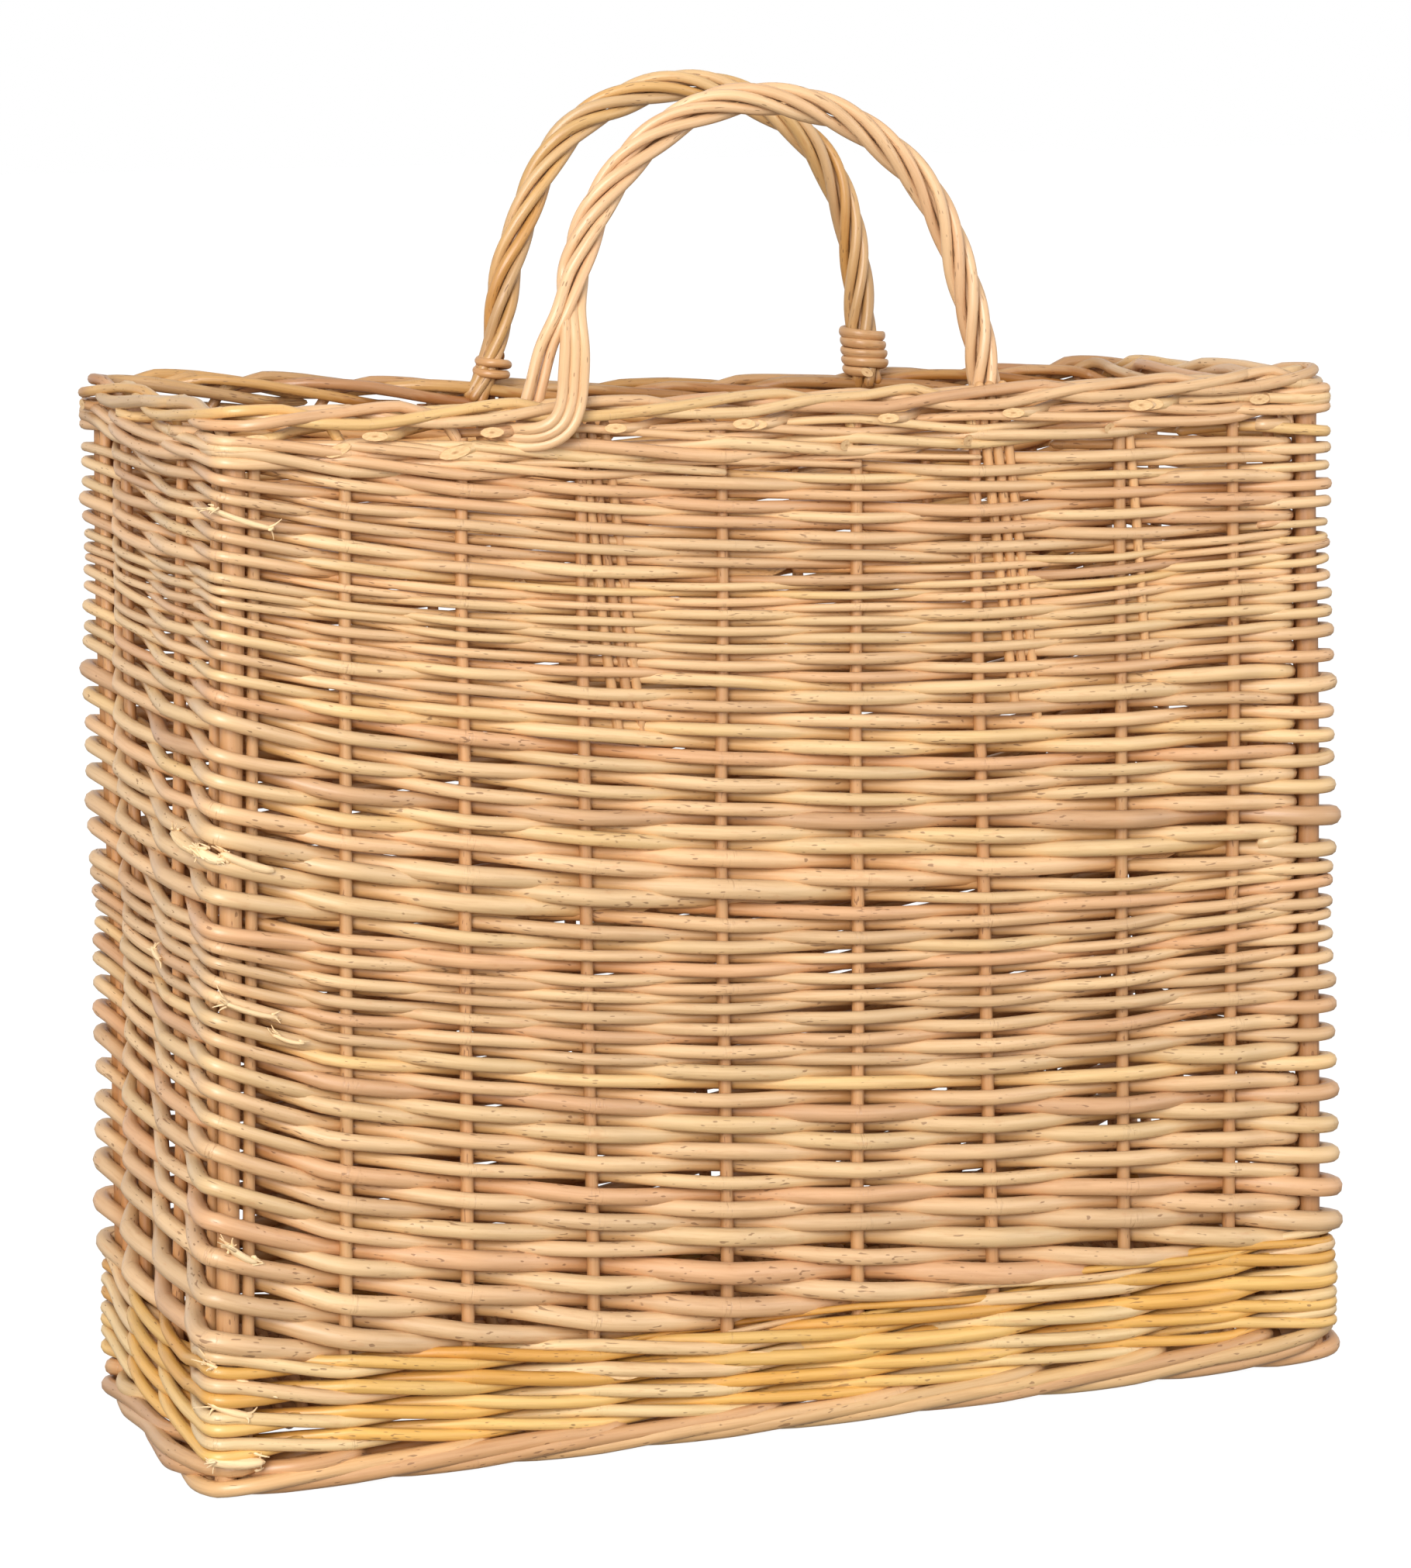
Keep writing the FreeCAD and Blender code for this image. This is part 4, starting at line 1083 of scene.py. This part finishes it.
def binding(node, c0, c1, turns, rx, ry, r, flat, hue):
    """A rod wound round the foot of a handle."""
    n = int(turns * 20) + 1
    a = np.linspace(0, 2 * math.pi * turns, n) + 0.6
    u = np.linspace(0, 1, n)
    c = np.array(c0)[None] * (1 - u[:, None]) + np.array(c1)[None] * u[:, None]
    P = np.column_stack([c[:, 0] + (rx + wobble(n, 0.25, 20, 3)) * np.cos(a), c[:, 1] + (ry + wobble(n, 0.2, 20, 3)) * np.sin(a), c[:, 2] + wobble(n, 0.25, 15, 3)])
    b = Rods(node)
    b.rod(P, np.full(n, r), hue=hue, value=0.6, start=("cut", (1, 0, 0)), end=("cut", (0, -1, 0)), oval=flat, up=(0, 0, 1), sides=12)
    return b.build([M_BIND, M_CUT], [node], "binding_willow")


binding("back_handle_binding_left", (-60.6, HANDLE_Y, 444.0), (-62.4, HANDLE_Y, 434.8), 2.1, 6.6, 6.6, 1.9, 1.0, 0.8)
binding("back_handle_binding_right", (114.6, HANDLE_Y, 450.0), (116.8, HANDLE_Y, 430.8), 4.6, 8.9, 8.6, 1.95, 1.22, 0.35)

for node, xt, xb, side, ztop in (("front_handle_liner_left", -86.3, -71.5, -1, 427.0), ("front_handle_liner_right", 88.0, 106.0, -1, 436.0),
                                 ("back_handle_liner_left", -60.5, -52.0, 1, 427.0), ("back_handle_liner_right", 116.0, 120.0, 1, 427.0)):
    b = Rods(node)
    for i in range(3):
        z0 = 300.0 + [0, 9, -4][i]
        n = int((ztop - z0) / 6)
        z = np.linspace(z0, ztop, n)
        t = (z - 300.0) / (ztop - 300.0)
        x = xb + (xt - xb) * t + (i - 1) * 5.1 + wobble(n, 0.45, 50, 6)
        y = side * (half_y(z) - INSET - 0.4) + wobble(n, 0.3, 50, 6)
        b.rod(np.column_stack([x, y, z]), np.linspace(2.2, 2.1, n), hue=float(rng.uniform(0.3, 0.9)), value=rng.beta(2, 2), start=("cut", (0, 0.3, -1)), end=("round",))
    b.build([M_STAKE, M_CUT], [node], "handle_willow")

# ------------------------------------------------------------------ base: seven sticks along, thin rods woven across them
bs_ = Rods("base_sticks")
stick_y = [(-3 + i) * 22.0 for i in range(7)]
bx0, bx1 = -(half_x(28) - 9), (half_x(28) - 9)
for i, y in enumerate(stick_y):
    n = 80
    x = np.linspace(bx0, bx1, n)
    bs_.rod(np.column_stack([x, y + wobble(n, 0.5, 90, 6), 28.5 + wobble(n, 0.3, 90, 6)]), np.full(n, 4.4 if i in (0, 6) else 3.5), start=("cut", (1, 0, 0)), end=("cut", (1, 0, 0)))
bs_.build([M_BASE, M_CUT], ["base_sticks"], "base_willow")
bw = Rods("base_weave")
pitch_x = 5.15
nx = int((bx1 - bx0 - 8) / pitch_x)
for i in range(nx):
    x = bx0 + 5 + i * pitch_x
    up_ = 1 if i % 2 == 0 else -1
    ys = [-(half_y(28) - 10)] + stick_y[0:7] + [(half_y(28) - 10)]
    r = float(rng.uniform(2.15, 2.75))
    ctrl = [(x, ys[0], 28.5 + 0.0)] + [(x + rng.normal(0, 0.4), y, 28.5 + up_ * (1 if m % 2 == 0 else -1) * (3.4 + r - 1.0)) for m, y in enumerate(stick_y)] + [(x, ys[-1], 28.5)]
    P = smooth_path(ctrl, step=4.0, kink=0.2)
    bw.rod(P, np.full(len(P), r), sides=8, start=("cut", (0, 1, 0)), end=("cut", (0, 1, 0)))
bw.build([M_BASE, M_CUT], ["base_weave"], "base_willow")

# ------------------------------------------------------------------ camera, light, floor
F_PX, W_PX, H_PX = 6142.7, 1820.0, 2023.0
az, el, roll = math.radians(-21.3324), math.radians(8.4143), math.radians(-0.9494)
back = Vector((math.sin(az) * math.cos(el), -math.cos(az) * math.cos(el), math.sin(el)))
right0 = Vector((math.cos(az), math.sin(az), 0.0))
up0 = back.cross(right0)
right = math.cos(roll) * right0 + math.sin(roll) * up0
up = -math.sin(roll) * right0 + math.cos(roll) * up0
at = Vector((0, 0, 0.22)) + right * -0.0020 + up * 0.0421 + back * 2.0557
cam_data = bpy.data.cameras.new("camera")
cam_data.sensor_fit = "AUTO"
cam_data.sensor_width = 36.0
cam_data.lens = F_PX / H_PX * 36.0
cam_data.clip_start = 0.05
cam_data.clip_end = 50
cam = bpy.data.objects.new("camera", cam_data)
cam.matrix_world = Matrix(((right.x, up.x, back.x, at.x), (right.y, up.y, back.y, at.y), (right.z, up.z, back.z, at.z), (0, 0, 0, 1)))
bpy.context.scene.collection.objects.link(cam)
bpy.context.scene.camera = cam


def area(name, loc, target, size, power, colour=(1, 1, 1)):
    d = bpy.data.lights.new(name, "AREA")
    d.shape = "RECTANGLE"
    d.size, d.size_y = size
    d.energy = power
    d.color = colour
    o = bpy.data.objects.new(name, d)
    o.location = loc
    o.rotation_euler = (Vector(target) - Vector(loc)).to_track_quat("-Z", "Y").to_euler()
    bpy.context.scene.collection.objects.link(o)
    return o


area("key", (-1.6, -2.2, 1.2), (0, 0, 0.20), (1.2, 1.2), 81)
area("fill", (2.2, -1.8, 1.0), (0, 0, 0.25), (1.8, 1.8), 14)
area("top", (0.1, 0.3, 2.6), (0, 0, 0.2), (1.8, 1.8), 3.5)
area("rim", (0.6, 2.2, 1.6), (0, 0, 0.3), (1.6, 1.6), 2.5)
world = bpy.data.worlds.new("studio")
world.use_nodes = True
wt = world.node_tree
bg = wt.nodes["Background"]
wc = nd(wt, "ShaderNodeTexCoord")
ws = nd(wt, "ShaderNodeSeparateXYZ")
wt.links.new(wc.outputs["Generated"], ws.inputs[0])
wz = nd(wt, "ShaderNodeMapRange")
wt.links.new(ws.outputs[2], wz.inputs[0])
wz.inputs[1].default_value, wz.inputs[2].default_value = -1.0, 1.0
wt.links.new(ramp(wt, wz.outputs[0], [(0.0, (0.22, 0.21, 0.20, 1)), (0.40, (0.40, 0.39, 0.38, 1)), (0.475, (1, 1, 1, 1)), (0.54, (1, 1, 1, 1)), (0.66, (0.62, 0.62, 0.62, 1)), (1.0, (0.62, 0.62, 0.62, 1))]), bg.inputs[0])
bg.inputs[1].default_value = 1.0
bpy.context.scene.world = world
bpy.context.scene.view_settings.view_transform = "Standard"

fm = bpy.data.meshes.new("floor")
S = 30.0
fm.from_pydata([(-S, -S, 0), (S, -S, 0), (S, S, 0), (-S, S, 0)], [], [(0, 1, 2, 3)])
fm.update()
floor = bpy.data.objects.new("floor", fm)
bpy.context.scene.collection.objects.link(floor)
mf = bpy.data.materials.new("floor_plain")
mf.use_nodes = True
fp = mf.node_tree.nodes["Principled BSDF"]
fp.inputs["Base Color"].default_value = (0.10, 0.10, 0.10, 1)
fp.inputs["Roughness"].default_value = 0.9
fp.inputs["Specular IOR Level"].default_value = 0.1
fp.inputs["Emission Color"].default_value = (1, 1, 1, 1)
fp.inputs["Emission Strength"].default_value = 0.96
fm.materials.append(mf)
floor.visible_diffuse = False
floor.visible_glossy = False

bpy.context.view_layer.update()
